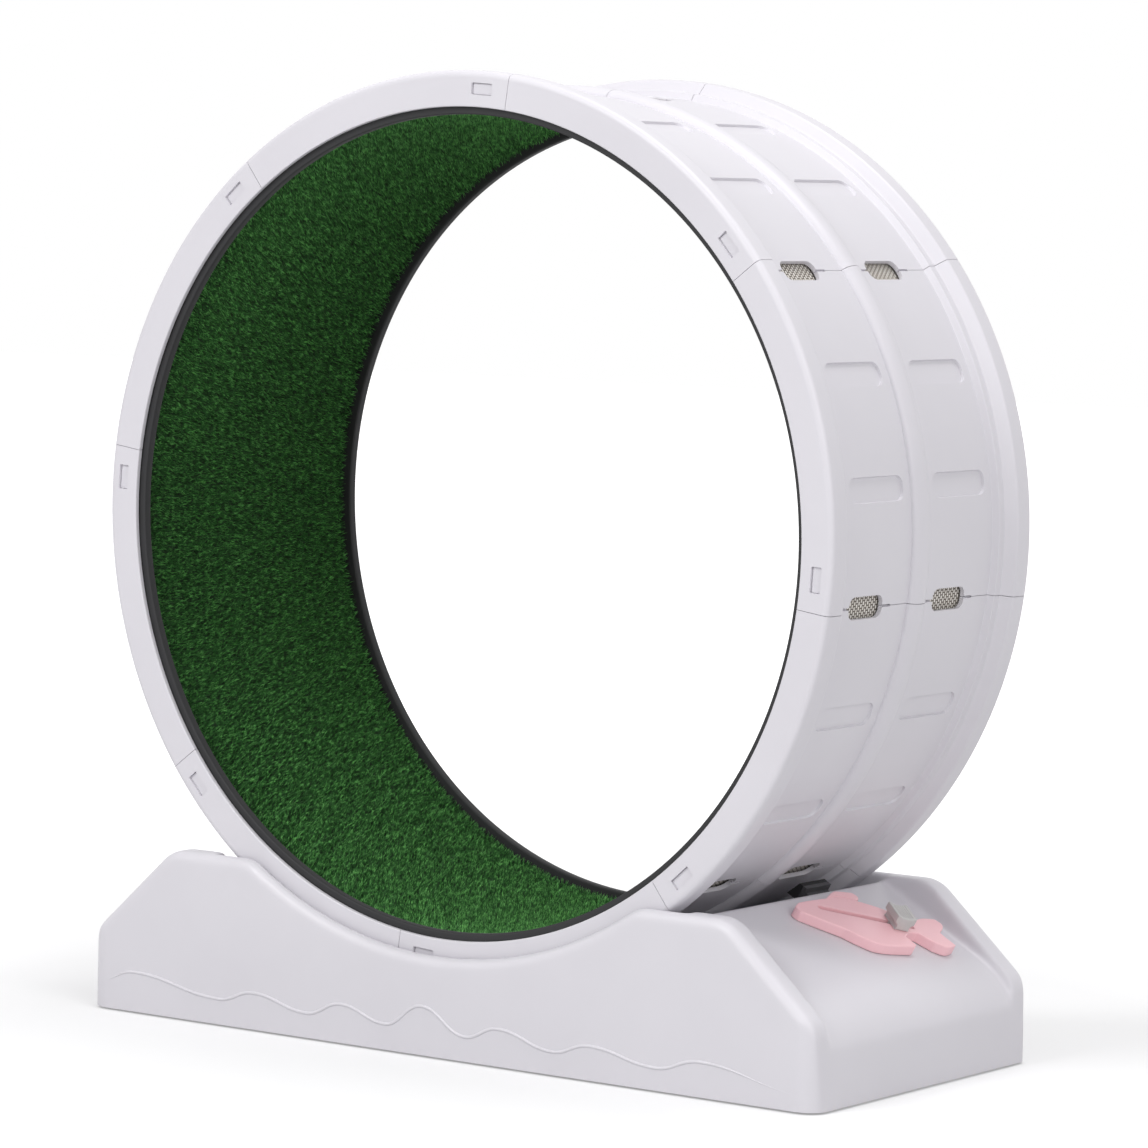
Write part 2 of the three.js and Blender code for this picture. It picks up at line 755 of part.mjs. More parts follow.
// A foot: a disc under the pan with a stem in the pan's hole.
function foot() {
  const discTop = panHeight - seatGap;
  const points = [
    [0, 0],
    [footRadius, 0],
    [footRadius, discTop],
    [footStemRadius, discTop],
    [footStemRadius, panTop],
    [0, panTop],
  ];
  return turned(points, screwSides);
}

// A screw with its head below, its shank upwards, and the head's upper face at zero.
function screw(length) {
  const points = [
    [0, -screwHeadHeight],
    [screwHeadRadius, -screwHeadHeight],
    [screwHeadRadius, 0],
    [screwRadius, 0],
    [screwRadius, length],
    [0, length],
  ];
  return turned(points, screwSides);
}

const base = new THREE.Group();
addPiece(base, "base_shell", baseShell(), white);
addPiece(base, "base_pan", basePan(), innerGrey);
footPlaces.forEach(([x, y], i) => {
  addPiece(base, `rubber_foot_${i + 1}`, foot(), black).position.set(x, y, 0);
});
postPlaces.forEach(([x, y], i) => {
  const piece = addPiece(base, `pan_screw_${i + 1}`, screw(screwLength), steel);
  piece.position.set(x, y, panHeight - seatGap);
});

// ---- Rollers ----

// Turned pieces of a roller lie about Y, with Z of the profile towards the wheel's face.
function aboutAxle(points, depth) {
  const placed = points.map(([radius, z]) => [radius, -depth * z]);
  if (depth > 0) placed.reverse();
  return turned(placed, roundSides).rotateX(Math.PI / 2);
}

const halfRoller = rollerWidth / 2;

const tyreOutline = [
  [rollerRadius - tyreThickness, -halfRoller],
  [rollerRadius, -halfRoller],
  [rollerRadius, halfRoller],
  [rollerRadius - tyreThickness, halfRoller],
  [rollerRadius - tyreThickness, -halfRoller],
];

const seatDepth = halfRoller - bearingWidth - seatGap;
const hubOutline = [
  [hubBore, -halfRoller],
  [hubRadius, -halfRoller],
  [hubRadius, halfRoller],
  [bearingRadius + seatGap, halfRoller],
  [bearingRadius + seatGap, seatDepth],
  [hubBore, seatDepth],
  [hubBore, -halfRoller],
];

const bearingBore = boreRadius(axleRadius, roundSides);
const bearingOutline = [
  [bearingBore, halfRoller - bearingWidth],
  [bearingRadius, halfRoller - bearingWidth],
  [bearingRadius, halfRoller],
  [bearingBore, halfRoller],
  [bearingBore, halfRoller - bearingWidth],
];

const axleOutline = [
  [0, -earOuter - axleTip],
  [axleRadius, -earOuter - axleTip],
  [axleRadius, earOuter + seatGap],
  [axleHeadRadius, earOuter + seatGap],
  [axleHeadRadius, earOuter + seatGap + axleHeadHeight],
  [0, earOuter + seatGap + axleHeadHeight],
];

// A bracket's two ears seen from the front, standing on the pan, tapering to round the axle.
function bracket(place) {
  const floor = panTop + seatGap - place.z;
  const half = bracketFoot / 2;
  const shape = new THREE.Shape();
  shape.moveTo(-half, floor);
  shape.lineTo(half, floor);
  shape.lineTo(half, floor + bracketFloor);
  shape.lineTo(earRadius, 0);
  shape.absarc(0, 0, earRadius, 0, Math.PI);
  shape.lineTo(-half, floor + bracketFloor);
  shape.closePath();
  const options = { depth: 2 * earOuter, bevelEnabled: false, curveSegments: 5 };
  const block = new THREE.ExtrudeGeometry(shape, options).translate(0, 0, -earOuter);
  block.rotateX(Math.PI / 2);
  const wide = half + overcut;
  const high = earRadius + overcut;
  const fork = box(-wide, wide, -earInner, earInner, floor + bracketFloor, high);
  const through = earOuter + overcut;
  const hole = upright(boreRadius(axleRadius), 0, 0, -through, through);
  hole.rotateX(Math.PI / 2);
  return geometryOf(solid(block).subtract(join([solid(fork), solid(hole)])));
}

const rollers = new THREE.Group();
for (const place of rollerPlaces) {
  const station = new THREE.Group();
  station.position.set(place.x, place.y, place.z);
  const { name, depth } = place;
  addPiece(station, `roller_tyre_${name}`, aboutAxle(tyreOutline, depth), black);
  addPiece(station, `roller_hub_${name}`, aboutAxle(hubOutline, depth), innerGrey);
  addPiece(station, `roller_bearing_${name}`, aboutAxle(bearingOutline, depth), steel);
  addPiece(station, `roller_axle_${name}`, aboutAxle(axleOutline, depth), steel);
  addPiece(station, `roller_bracket_${name}`, bracket(place), innerGrey);
  rollers.add(station);
}

// ---- Wheel lock ----

// The fish plate's outline, head towards +X, back towards -Y, drawn at a length of its own.
function fishOutline() {
  const drawnLength = 170;
  const scale = fishLength / drawnLength;
  const shape = new THREE.Shape();
  const at = ([x, y]) => new THREE.Vector2(x * scale, y * scale);
  const curve = (...points) => shape.splineThru(points.map(at));
  const line = (x, y) => shape.lineTo(x * scale, y * scale);
  shape.moveTo(72 * scale, -scale);
  curve([79, 8], [76, 15]);
  curve([57, 22], [36, 29]);
  curve([22, 38], [2, 44], [-36, 35]);
  line(-40, 31);
  line(-34, 19);
  curve([-42, 11], [-52, 8]);
  line(-66, 20);
  curve([-78, 23], [-90, 16]);
  curve([-84, 5], [-81, -2]);
  curve([-88, -10], [-91, -18], [-86, -25]);
  curve([-70, -21], [-57, -13]);
  line(-51, -11);
  curve([-28, -23], [1, -28]);
  curve([-6, -31], [-7, -37], [-3, -41]);
  curve([8, -39], [20, -35], [34, -20]);
  curve([57, -9], [72, -1]);
  shape.closePath();
  shape.holes.push(obround(slotHalfLength, slotHalfWidth));
  return shape;
}

function fishPlate() {
  const options = {
    depth: fishThickness - 2 * fishBevel,
    bevelThickness: fishBevel,
    bevelSize: fishBevel,
    bevelOffset: -fishBevel,
    bevelSegments: 1,
    curveSegments: 2,
  };
  const geometry = new THREE.ExtrudeGeometry(fishOutline(), options);
  return geometry.translate(0, 0, seatGap + fishBevel);
}

// The knob: a block with a dished, ribbed top, and the stem that runs down through the slot.
function knob() {
  const bottom = 2 * seatGap + fishThickness;
  const half = knobLength / 2;
  const top = bottom + knobHeight;
  const shape = new THREE.Shape();
  shape.moveTo(-half + knobWaist, bottom);
  shape.lineTo(half - knobWaist, bottom);
  shape.lineTo(half, bottom + knobWaist);
  shape.lineTo(half, top);
  for (let i = 1; i < 2 * knobRibs; i += 1) {
    const across = 1 - i / knobRibs;
    const dish = knobDip * (1 - across ** 2);
    const rib = i % 2 ? knobRibDepth : 0;
    shape.lineTo(half * across, top - dish - rib);
  }
  shape.lineTo(-half, top);
  shape.lineTo(-half, bottom + knobWaist);
  shape.closePath();
  const options = { depth: knobWidth, bevelEnabled: false };
  const cap = new THREE.ExtrudeGeometry(shape, options).translate(0, 0, -knobWidth / 2);
  cap.rotateX(Math.PI / 2);
  const halfStem = stemLength / 2;
  const halfThin = slotHalfWidth - seatGap;
  const stem = box(-halfStem, halfStem, -halfThin, halfThin, carriageBottom, bottom + knobWaist);
  const shankTop = carriageBottom - seatGap + pinShankLength;
  const boreTop = shankTop + seatGap;
  const bore = upright(boreRadius(pinShankRadius), 0, 0, carriageBottom - overcut, boreTop);
  return geometryOf(join([solid(cap), solid(stem)]).subtract(solid(bore)));
}

function carriage() {
  const halfStem = stemLength / 2 + seatGap;
  const slab = box(
    -carriageLength / 2,
    carriageLength / 2,
    -carriageWidth / 2,
    carriageWidth / 2,
    carriageBottom,
    carriageTop,
  );
  const socket = box(
    -halfStem,
    halfStem,
    -slotHalfWidth,
    slotHalfWidth,
    carriageBottom - overcut,
    carriageTop + overcut,
  );
  return geometryOf(solid(slab).subtract(solid(socket)));
}

const pinOutline = [
  [0, armBottom],
  [pegRadius, armBottom],
  [pegRadius, flangeBottom],
  [pinFlangeRadius, flangeBottom],
  [pinFlangeRadius, flangeBottom + pinFlangeHeight],
  [pinShankRadius, flangeBottom + pinFlangeHeight],
  [pinShankRadius, flangeBottom + pinFlangeHeight + pinShankLength],
  [0, flangeBottom + pinFlangeHeight + pinShankLength],
];

// The arm under the deck: its peg groove runs askew to the fish, so that the knob's long stroke
// becomes the shoe's short one.
function brakeArm() {
  const outline = new THREE.Shape();
  const half = trayHalfInner - seatGap;
  outline.moveTo(armFront, channelMiddle - armNeckWidth / 2);
  outline.lineTo(armShoulder, channelMiddle - armNeckWidth / 2);
  outline.lineTo(armShoulder, lockAside - half);
  outline.lineTo(armRear, lockAside - half);
  outline.lineTo(armRear, lockAside + half);
  outline.lineTo(armShoulder, lockAside + half);
  outline.lineTo(armShoulder, channelMiddle + armNeckWidth / 2);
  outline.lineTo(armFront, channelMiddle + armNeckWidth / 2);
  outline.closePath();
  const head = box(
    armFront,
    armFront + armHeadThickness,
    channelMiddle - padWidth / 2,
    channelMiddle + padWidth / 2,
    padBottom,
    padBottom + padHeight,
  );
  const run = new THREE.Vector2().subVectors(grooveEnd, grooveStart);
  const halfWide = pegRadius + seatGap;
  const slot = obround(run.length() / 2 + halfWide, halfWide);
  const groove = plate(slot, armBottom - overcut, armTop + overcut);
  groove.rotateZ(run.angle());
  groove.translate((grooveStart.x + grooveEnd.x) / 2, (grooveStart.y + grooveEnd.y) / 2, 0);
  const body = join([solid(plate(outline, armBottom, armTop)), solid(head)]);
  return geometryOf(body.subtract(solid(groove)));
}

// The shoe's pad, hollowed to the channel's floor as it lies when the lock is on.
function brakePad() {
  const block = box(
    padRear - 2 * padThickness,
    padRear,
    channelMiddle - padWidth / 2,
    channelMiddle + padWidth / 2,
    padBottom,
    padBottom + padHeight,
  );
  const reach = channelRadius + seatGap;
  const ringSides = 240;
  const ring = new THREE.CylinderGeometry(reach, reach, wheelWidth, ringSides);
  ring.translate(brakeTravel + axisDown, 0, axisOut);
  return geometryOf(solid(block).subtract(solid(ring)));
}

function lockTray() {
  const half = trayHalfInner + trayWall;
  const y0 = lockAside - half;
  const y1 = lockAside + half;
  const floor = box(trayFront, trayRear, y0 - trayFlange, y1 + trayFlange, trayBottom, trayTop);
  const near = box(trayFront, trayRear, y0, y0 + trayWall, trayTop - trayWall, carriageTop);
  const far = box(trayFront, trayRear, y1 - trayWall, y1, trayTop - trayWall, carriageTop);
  const holes = trayCorners.map(([x, y]) =>
    solid(upright(boreRadius(screwRadius), x, y, trayBottom - overcut, trayTop + overcut)),
  );
  return geometryOf(join([floor, near, far].map(solid)).subtract(join(holes)));
}

addPiece(lock, "fish_plate", fishPlate(), pink);
addPiece(lock, "lock_knob", knob(), silver).position.x = knobRest;
addPiece(lock, "lock_carriage", carriage(), innerGrey).position.x = knobRest;
addPiece(lock, "lock_pin", turned(pinOutline, screwSides), steel).position.x = knobRest;
addPiece(deck, "brake_arm", brakeArm(), innerGrey);
addPiece(deck, "brake_pad", brakePad(), black);
addPiece(deck, "lock_tray", lockTray(), innerGrey);
trayCorners.forEach(([x, y], i) => {
  const piece = addPiece(deck, `tray_screw_${i + 1}`, screw(trayScrewLength), steel);
  piece.position.set(x, y, trayBottom - seatGap);
});

const catWheel = new THREE.Group();
catWheel.add(wheel, base, rollers, deck);

export default catWheel;
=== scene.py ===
# Looks of a cat exercise wheel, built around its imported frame.
# Sizes in the dictionaries are millimetres and degrees, but metres in finishes and studio.
# The scene itself is in metres.
import json
import math
import random

import bmesh
import bpy
from mathutils import Matrix, Vector


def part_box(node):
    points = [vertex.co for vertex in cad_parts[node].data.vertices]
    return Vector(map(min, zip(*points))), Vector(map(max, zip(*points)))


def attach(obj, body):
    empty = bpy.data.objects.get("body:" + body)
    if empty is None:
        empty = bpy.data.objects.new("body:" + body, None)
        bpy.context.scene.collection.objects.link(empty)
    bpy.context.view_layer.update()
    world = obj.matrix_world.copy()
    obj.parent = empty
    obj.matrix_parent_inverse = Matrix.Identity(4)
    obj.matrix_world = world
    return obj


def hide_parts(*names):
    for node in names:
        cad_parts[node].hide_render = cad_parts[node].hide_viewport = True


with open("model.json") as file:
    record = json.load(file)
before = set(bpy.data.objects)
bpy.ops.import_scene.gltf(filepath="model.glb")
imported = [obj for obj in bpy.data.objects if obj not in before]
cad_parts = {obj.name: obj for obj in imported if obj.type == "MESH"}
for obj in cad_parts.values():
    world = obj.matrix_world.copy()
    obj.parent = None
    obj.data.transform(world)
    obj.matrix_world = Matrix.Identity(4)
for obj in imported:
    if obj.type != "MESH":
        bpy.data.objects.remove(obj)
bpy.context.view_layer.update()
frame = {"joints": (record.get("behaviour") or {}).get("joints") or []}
mm = 0.001
mergeDistance = 1e-6
lieDown = Matrix.Rotation(math.pi / 2, 4, "X")
joints = {joint["name"]: joint for joint in frame["joints"]}
wheelAxis = Vector(joints["wheel_spin"]["pos_m"])


def makeObject(name, bm):
    mesh = bpy.data.meshes.new(name)
    bm.to_mesh(mesh)
    bm.free()
    made = bpy.data.objects.new(name, mesh)
    bpy.context.scene.collection.objects.link(made)
    return made


def settle(made):  # makes its modifiers part of its mesh
    graph = bpy.context.evaluated_depsgraph_get()
    mesh = bpy.data.meshes.new_from_object(made.evaluated_get(graph))
    made.modifiers.clear()
    old = made.data
    made.data = mesh
    bpy.data.meshes.remove(old)
    return made


def discard(*made):
    for one in made:
        mesh = one.data
        bpy.data.objects.remove(one)
        bpy.data.meshes.remove(mesh)


def cut(made, cutters, operation="DIFFERENCE"):
    for cutter in cutters:
        step = made.modifiers.new("cut", "BOOLEAN")
        step.operation = operation
        step.solver = "EXACT"
        step.object = cutter
    settle(made)
    discard(*cutters)
    return made


def soften(made, width, segments=2, angle=32):  # rounds the sharp edges
    step = made.modifiers.new("soften", "BEVEL")
    step.width = width * mm
    step.segments = segments
    step.limit_method = "ANGLE"
    step.angle_limit = math.radians(angle)
    step.use_clamp_overlap = True
    return settle(made)


def melt(made, voxel, rounds, keep):  # rounds every edge, as a mould would, and thins the mesh
    remesh = made.modifiers.new("remesh", "REMESH")
    remesh.mode = "VOXEL"
    remesh.voxel_size = voxel * mm
    smooth = made.modifiers.new("smooth", "SMOOTH")
    smooth.factor = 0.5
    smooth.iterations = rounds
    thin = made.modifiers.new("thin", "DECIMATE")
    thin.ratio = keep
    return settle(made)


def shade(made, angle=38):
    made.data.shade_smooth()
    made.data.set_sharp_from_angle(angle=math.radians(angle))
    return made


def evenShading(made, angle=38):  # flat faces keep their own shading beside small rounds
    shade(made, angle)
    step = made.modifiers.new("even", "WEIGHTED_NORMAL")
    step.keep_sharp = True
    step.weight = 60
    return settle(made)


def finishPiece(made, body, material, replaced=()):
    made.data.materials.clear()
    made.data.materials.append(material)
    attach(made, body)
    if replaced:
        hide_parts(*replaced)
    return made


def copyOf(made, name, turn):  # a copy of its mesh, moved in the mesh
    bm = bmesh.new()
    bm.from_mesh(made.data)
    copied = makeObject(name, bm)
    copied.data.transform(turn)
    return copied


def joinMeshes(target, *extras):
    bm = bmesh.new()
    bm.from_mesh(target.data)
    for extra in extras:
        bm.from_mesh(extra.data)
    bm.to_mesh(target.data)
    bm.free()
    discard(*extras)
    return target


def shift(x, y, z):
    return Matrix.Translation(Vector((x, y, z)) * mm)


def prism(name, points, low, high, plane="XZ"):  # an outline pushed along the third axis
    bm = bmesh.new()
    if plane == "XZ":
        verts = [bm.verts.new((a * mm, low * mm, b * mm)) for a, b in points]
        push = Vector((0, high - low, 0)) * mm
    else:
        verts = [bm.verts.new((a * mm, b * mm, low * mm)) for a, b in points]
        push = Vector((0, 0, high - low)) * mm
    face = bm.faces.new(verts)
    grown = bmesh.ops.extrude_face_region(bm, geom=[face])["geom"]
    bmesh.ops.translate(bm, verts=[g for g in grown if isinstance(g, bmesh.types.BMVert)], vec=push)
    bmesh.ops.recalc_face_normals(bm, faces=bm.faces)
    return makeObject(name, bm)


def block(name, low, high, corner=0, corners="Z", segments=6):  # a box, with four round edges
    bm = bmesh.new()
    size = Vector(high) - Vector(low)
    bmesh.ops.create_cube(bm, size=1)
    bmesh.ops.scale(bm, verts=bm.verts, vec=size * mm)
    if corner:
        axis = "XYZ".index(corners)
        sides = [e for e in bm.edges
                 if abs((e.verts[0].co - e.verts[1].co)[axis]) > size[axis] * mm / 2]
        bmesh.ops.bevel(bm, geom=sides, offset=corner * mm, segments=segments, profile=0.5,
                        affect="EDGES", material=-1)
    bmesh.ops.translate(bm, verts=bm.verts, vec=(Vector(high) + Vector(low)) / 2 * mm)
    return makeObject(name, bm)


def turned(name, points, steps=64):  # an outline of (radius, height) spun about Z
    bm = bmesh.new()
    verts = [bm.verts.new((radius * mm, 0, height * mm)) for radius, height in points]
    edges = [bm.edges.new(pair) for pair in zip(verts, verts[1:])]
    if points[0][0] > 0:
        edges.append(bm.edges.new((verts[-1], verts[0])))
    bmesh.ops.spin(bm, geom=verts + edges, cent=(0, 0, 0), axis=(0, 0, 1), angle=math.tau,
                   steps=steps, use_merge=True)
    bmesh.ops.remove_doubles(bm, verts=bm.verts, dist=mergeDistance)
    bmesh.ops.recalc_face_normals(bm, faces=bm.faces)
    return makeObject(name, bm)


def rod(name, radius, low, high, place, steps=32):  # along the Z axis of its place
    bm = bmesh.new()
    bmesh.ops.create_cone(bm, cap_ends=True, segments=steps, radius1=radius * mm,
                          radius2=radius * mm, depth=(high - low) * mm,
                          matrix=place @ shift(0, 0, (low + high) / 2))
    return makeObject(name, bm)


def bend(start, corner, end, steps):  # a curve from start to end that leans towards the corner
    points = []
    for i in range(steps + 1):
        t = i / steps
        points.append(tuple((1 - t) ** 2 * a + 2 * t * (1 - t) * b + t * t * c
                            for a, b, c in zip(start, corner, end)))
    return points


def rounded(corners, steps=6):  # (across, up, radius) corners, as an outline with round corners
    points = []
    for i, (x, y, radius) in enumerate(corners):
        here = Vector((x, y))
        if not radius:
            points.append((x, y))
            continue
        before = (Vector(corners[i - 1][:2]) - here).normalized()
        after = (Vector(corners[(i + 1) % len(corners)][:2]) - here).normalized()
        reach = radius / math.tan(before.angle(after) / 2)
        points += bend(tuple(here + before * reach), (x, y), tuple(here + after * reach), steps)
    return points


def around(degrees):  # a turn about the wheel's axis, from +X towards +Z
    turn = Matrix.Rotation(-math.radians(degrees), 4, "Y")
    return Matrix.Translation(wheelAxis) @ turn @ Matrix.Translation(-wheelAxis)


def sweepRound(name, points, start, sweep, steps):  # an outline of (across, radius), swept
    bm = bmesh.new()
    verts = [bm.verts.new((radius * mm, across * mm, wheelAxis.z)) for across, radius in points]
    edges = [bm.edges.new((verts[i - 1], verts[i])) for i in range(len(verts))]
    bmesh.ops.transform(bm, matrix=around(start), verts=verts)
    bmesh.ops.spin(bm, geom=verts + edges, cent=wheelAxis, axis=(0, -1, 0),
                   angle=math.radians(sweep), steps=steps, use_merge=sweep == 360)
    bmesh.ops.remove_doubles(bm, verts=bm.verts, dist=mergeDistance)
    ends = [e for e in bm.edges if len(e.link_faces) == 1]
    if ends:
        bmesh.ops.holes_fill(bm, edges=ends, sides=0)
    bmesh.ops.recalc_face_normals(bm, faces=bm.faces)
    return makeObject(name, bm)


def newMaterial(name, colour, roughness, **settings):
    material = bpy.data.materials.new(name)
    material.use_nodes = True
    shader = shaderOf(material)
    shader.inputs["Base Color"].default_value = (*colour, 1)
    shader.inputs["Roughness"].default_value = roughness
    for socket, value in settings.items():
        shader.inputs[socket.replace("_", " ")].default_value = value
    return material


def shaderOf(material):
    return material.node_tree.nodes["Principled BSDF"]


def node(material, kind, **settings):
    made = material.node_tree.nodes.new(kind)
    for key, value in settings.items():
        if key in made.inputs:
            made.inputs[key].default_value = value
        else:
            setattr(made, key, value)
    return made


def wire(material, source, output, target, socket):
    material.node_tree.links.new(source.outputs[output], target.inputs[socket])


def addGrain(material, scale, depth, strength):  # the fine texture of a moulded surface
    place = node(material, "ShaderNodeTexCoord")
    noise = node(material, "ShaderNodeTexNoise", Scale=scale, Detail=3.0, Roughness=0.6)
    bump = node(material, "ShaderNodeBump", Strength=strength, Distance=depth)
    wire(material, place, "Object", noise, "Vector")
    wire(material, noise, "Fac", bump, "Height")
    wire(material, bump, "Normal", shaderOf(material), "Normal")


def addDrift(material, dark, light, scale, roughLow, roughHigh):  # slow changes of colour, gloss
    place = node(material, "ShaderNodeTexCoord")
    noise = node(material, "ShaderNodeTexNoise", Scale=scale, Detail=4.0, Roughness=0.55)
    colours = node(material, "ShaderNodeValToRGB")
    colours.color_ramp.elements[0].position = 0.3
    colours.color_ramp.elements[0].color = (*dark, 1)
    colours.color_ramp.elements[1].position = 0.7
    colours.color_ramp.elements[1].color = (*light, 1)
    gloss = node(material, "ShaderNodeMapRange")
    gloss.inputs["To Min"].default_value = roughLow
    gloss.inputs["To Max"].default_value = roughHigh
    wire(material, place, "Object", noise, "Vector")
    wire(material, noise, "Fac", colours, "Fac")
    wire(material, colours, "Color", shaderOf(material), "Base Color")
    wire(material, noise, "Fac", gloss, "Value")
    wire(material, gloss, "Result", shaderOf(material), "Roughness")


finishes = {
    "whitePlastic": {"dark": (0.65, 0.635, 0.675), "light": (0.68, 0.665, 0.705), "drift": 6,
                     "rough": (0.38, 0.46), "grain": (900, 0.00005, 0.22)},
    "innerPlastic": {"dark": (0.42, 0.42, 0.44), "light": (0.5, 0.5, 0.52), "drift": 25,
                     "rough": (0.45, 0.58), "grain": (1200, 0.00005, 0.3)},
    "pinkPlastic": {"dark": (0.96, 0.575, 0.615), "light": (0.98, 0.61, 0.65), "drift": 25,
                    "rough": (0.36, 0.46), "grain": (1200, 0.00004, 0.25)},
    "darkPlastic": {"dark": (0.05, 0.05, 0.055), "light": (0.08, 0.08, 0.085), "drift": 30,
                    "rough": (0.5, 0.62), "grain": (1200, 0.00005, 0.3)},
    "silverPlastic": {"dark": (0.5, 0.49, 0.48), "light": (0.6, 0.59, 0.58), "drift": 40,
                      "rough": (0.28, 0.4), "grain": (1500, 0.00005, 0.3)},
    "blackRubber": {"dark": (0.008, 0.008, 0.009), "light": (0.014, 0.014, 0.016), "drift": 60,
                    "rough": (0.58, 0.76), "grain": (1500, 0.0001, 0.4)},
    "brushedSteel": {"dark": (0.5, 0.51, 0.53), "light": (0.6, 0.61, 0.63), "drift": 90,
                     "rough": (0.24, 0.4), "grain": (2500, 0.00003, 0.25)},
}


def mouldedFinish(name):
    look = finishes[name]
    made = newMaterial(name, look["light"], look["rough"][0])
    addDrift(made, look["dark"], look["light"], look["drift"], *look["rough"])
    addGrain(made, *look["grain"])
    return made


# the pile's root colour is painted shade among the blades, and its tip colour is painted light on
# the tips
turfColours = {"body": (0.03, 0.14, 0.04), "rough": 0.7, "rootRadius": 376, "tipRadius": 365.5,
               "speckles": 230.0, "speckleGain": 2.6, "speckleShift": -1.42,
               "root": (0.12, (0.009, 0.032, 0.008, 1)), "blade": (0.6, (0.038, 0.178, 0.034, 1)),
               "tip": (1.0, (0.24, 0.7, 0.18, 1))}
cloth = {"body": (0.7, 0.67, 0.61), "rough": 0.85, "light": (0.86, 0.83, 0.78, 1),
         "dark": (0.72, 0.68, 0.62, 1), "hollow": (0.13, 0.11, 0.09, 1), "stitch": 4.4, "row": 3.4,
         "gap": 0.8, "softness": 0.6, "relief": 0.6}


def turfPileFinish():  # painted shade at the roots and painted light at the tips, by the distance to the axis
    t = turfColours
    made = newMaterial("turfPile", t["body"], t["rough"])
    place = node(made, "ShaderNodeTexCoord")
    middle = node(made, "ShaderNodeVectorMath", operation="SUBTRACT")
    middle.inputs[1].default_value = wheelAxis
    flat = node(made, "ShaderNodeVectorMath", operation="MULTIPLY")
    flat.inputs[1].default_value = (1, 0, 1)
    radius = node(made, "ShaderNodeVectorMath", operation="LENGTH")
    height = node(made, "ShaderNodeMapRange")
    height.inputs["From Min"].default_value = t["rootRadius"] * mm
    height.inputs["From Max"].default_value = t["tipRadius"] * mm
    speckle = node(made, "ShaderNodeTexNoise", Scale=t["speckles"], Detail=2.5, Roughness=0.7)
    share = node(made, "ShaderNodeMath", operation="MULTIPLY_ADD")
    share.inputs[1].default_value = t["speckleGain"]
    share.inputs[2].default_value = t["speckleShift"]
    total = node(made, "ShaderNodeMath", operation="ADD")
    colours = node(made, "ShaderNodeValToRGB")
    ramp = colours.color_ramp
    # painted shade at the roots, painted light at the tips
    ramp.elements[0].position, ramp.elements[0].color = t["root"]
    ramp.elements[1].position, ramp.elements[1].color = t["tip"]
    middlePlace, middleColour = t["blade"]
    ramp.elements.new(middlePlace).color = middleColour
    wire(made, place, "Object", middle, 0)
    wire(made, middle, "Vector", flat, 0)
    wire(made, flat, "Vector", radius, 0)
    wire(made, radius, "Value", height, "Value")
    wire(made, place, "Object", speckle, "Vector")
    wire(made, speckle, "Fac", share, 0)
    wire(made, height, "Result", total, 0)
    wire(made, share, "Value", total, 1)
    wire(made, total, "Value", colours, "Fac")
    wire(made, colours, "Color", shaderOf(made), "Base Color")
    return made


def turfBackFinish():  # cream cloth with rows of stitches, on the ring's own map in millimetres
    c = cloth
    made = newMaterial("turfBack", c["body"], c["rough"])
    place = node(made, "ShaderNodeTexCoord")
    rows = node(made, "ShaderNodeTexBrick", offset=0.5, Scale=1.0)
    settings = {"Color1": c["light"], "Color2": c["dark"], "Mortar": c["hollow"],
                "Mortar Size": c["gap"], "Mortar Smooth": c["softness"],
                "Brick Width": c["stitch"], "Row Height": c["row"]}
    for socket, value in settings.items():
        rows.inputs[socket].default_value = value
    bump = node(made, "ShaderNodeBump", invert=True, Strength=0.8, Distance=c["relief"] * mm)
    wire(made, place, "UV", rows, "Vector")
    wire(made, rows, "Color", shaderOf(made), "Base Color")
    wire(made, rows, "Fac", bump, "Height")
    wire(made, bump, "Normal", shaderOf(made), "Normal")
    return made


looks = {name: mouldedFinish(name) for name in finishes}
looks["turfPile"] = turfPileFinish()
looks["turfBack"] = turfBackFinish()
print("materials made")


segment = {
    "count": 8, "firstSeam": 37.3, "seamGap": 0.5, "steps": 30,
    "rimRadius": 400, "halfWidth": 161.5, "rimWidth": 22.5, "rimRound": 6.5, "rimSlope": 8,
    "bandWidth": 8, "bandStep": 3, "bandRise": 6, "channelRadius": 384,
    "channelRound": 1.2, "bandRounds": (1.4, 2), "slopeRound": 5,
    "ribHalfWidth": 13, "ribHeight": 7, "ribSteps": 9,
    "faceDepth": 32, "faceWall": 5, "wall": 4, "lipRound": 1.4, "edgeRound": 0.6,
}
pocket = {"along": 24, "margin": 10, "corner": 9.5, "depth": 2.4, "slope": 1.5, "perSegment": 2,
          "cutAbove": 3}
seamHole = {"along": 20, "across": 52, "corner": 8, "shift": -12, "slotReach": 13, "slotWidth": 2.2,
            "slotDepth": 2.4}
latch = {"offset": 28, "length": 22, "height": 10, "radius": 384, "recess": 2.4, "gap": 0.15,
         "corner": 0.8, "edge": 0.6, "catchRoot": 3, "cutPast": 1, "tongueGap": 0.3,
         "tongueEnd": 42, "tongueRoot": 20, "tongueTop": 391, "tongueHeight": 9,
         "tongueInner": 146.2, "tongueRound": 1.5}


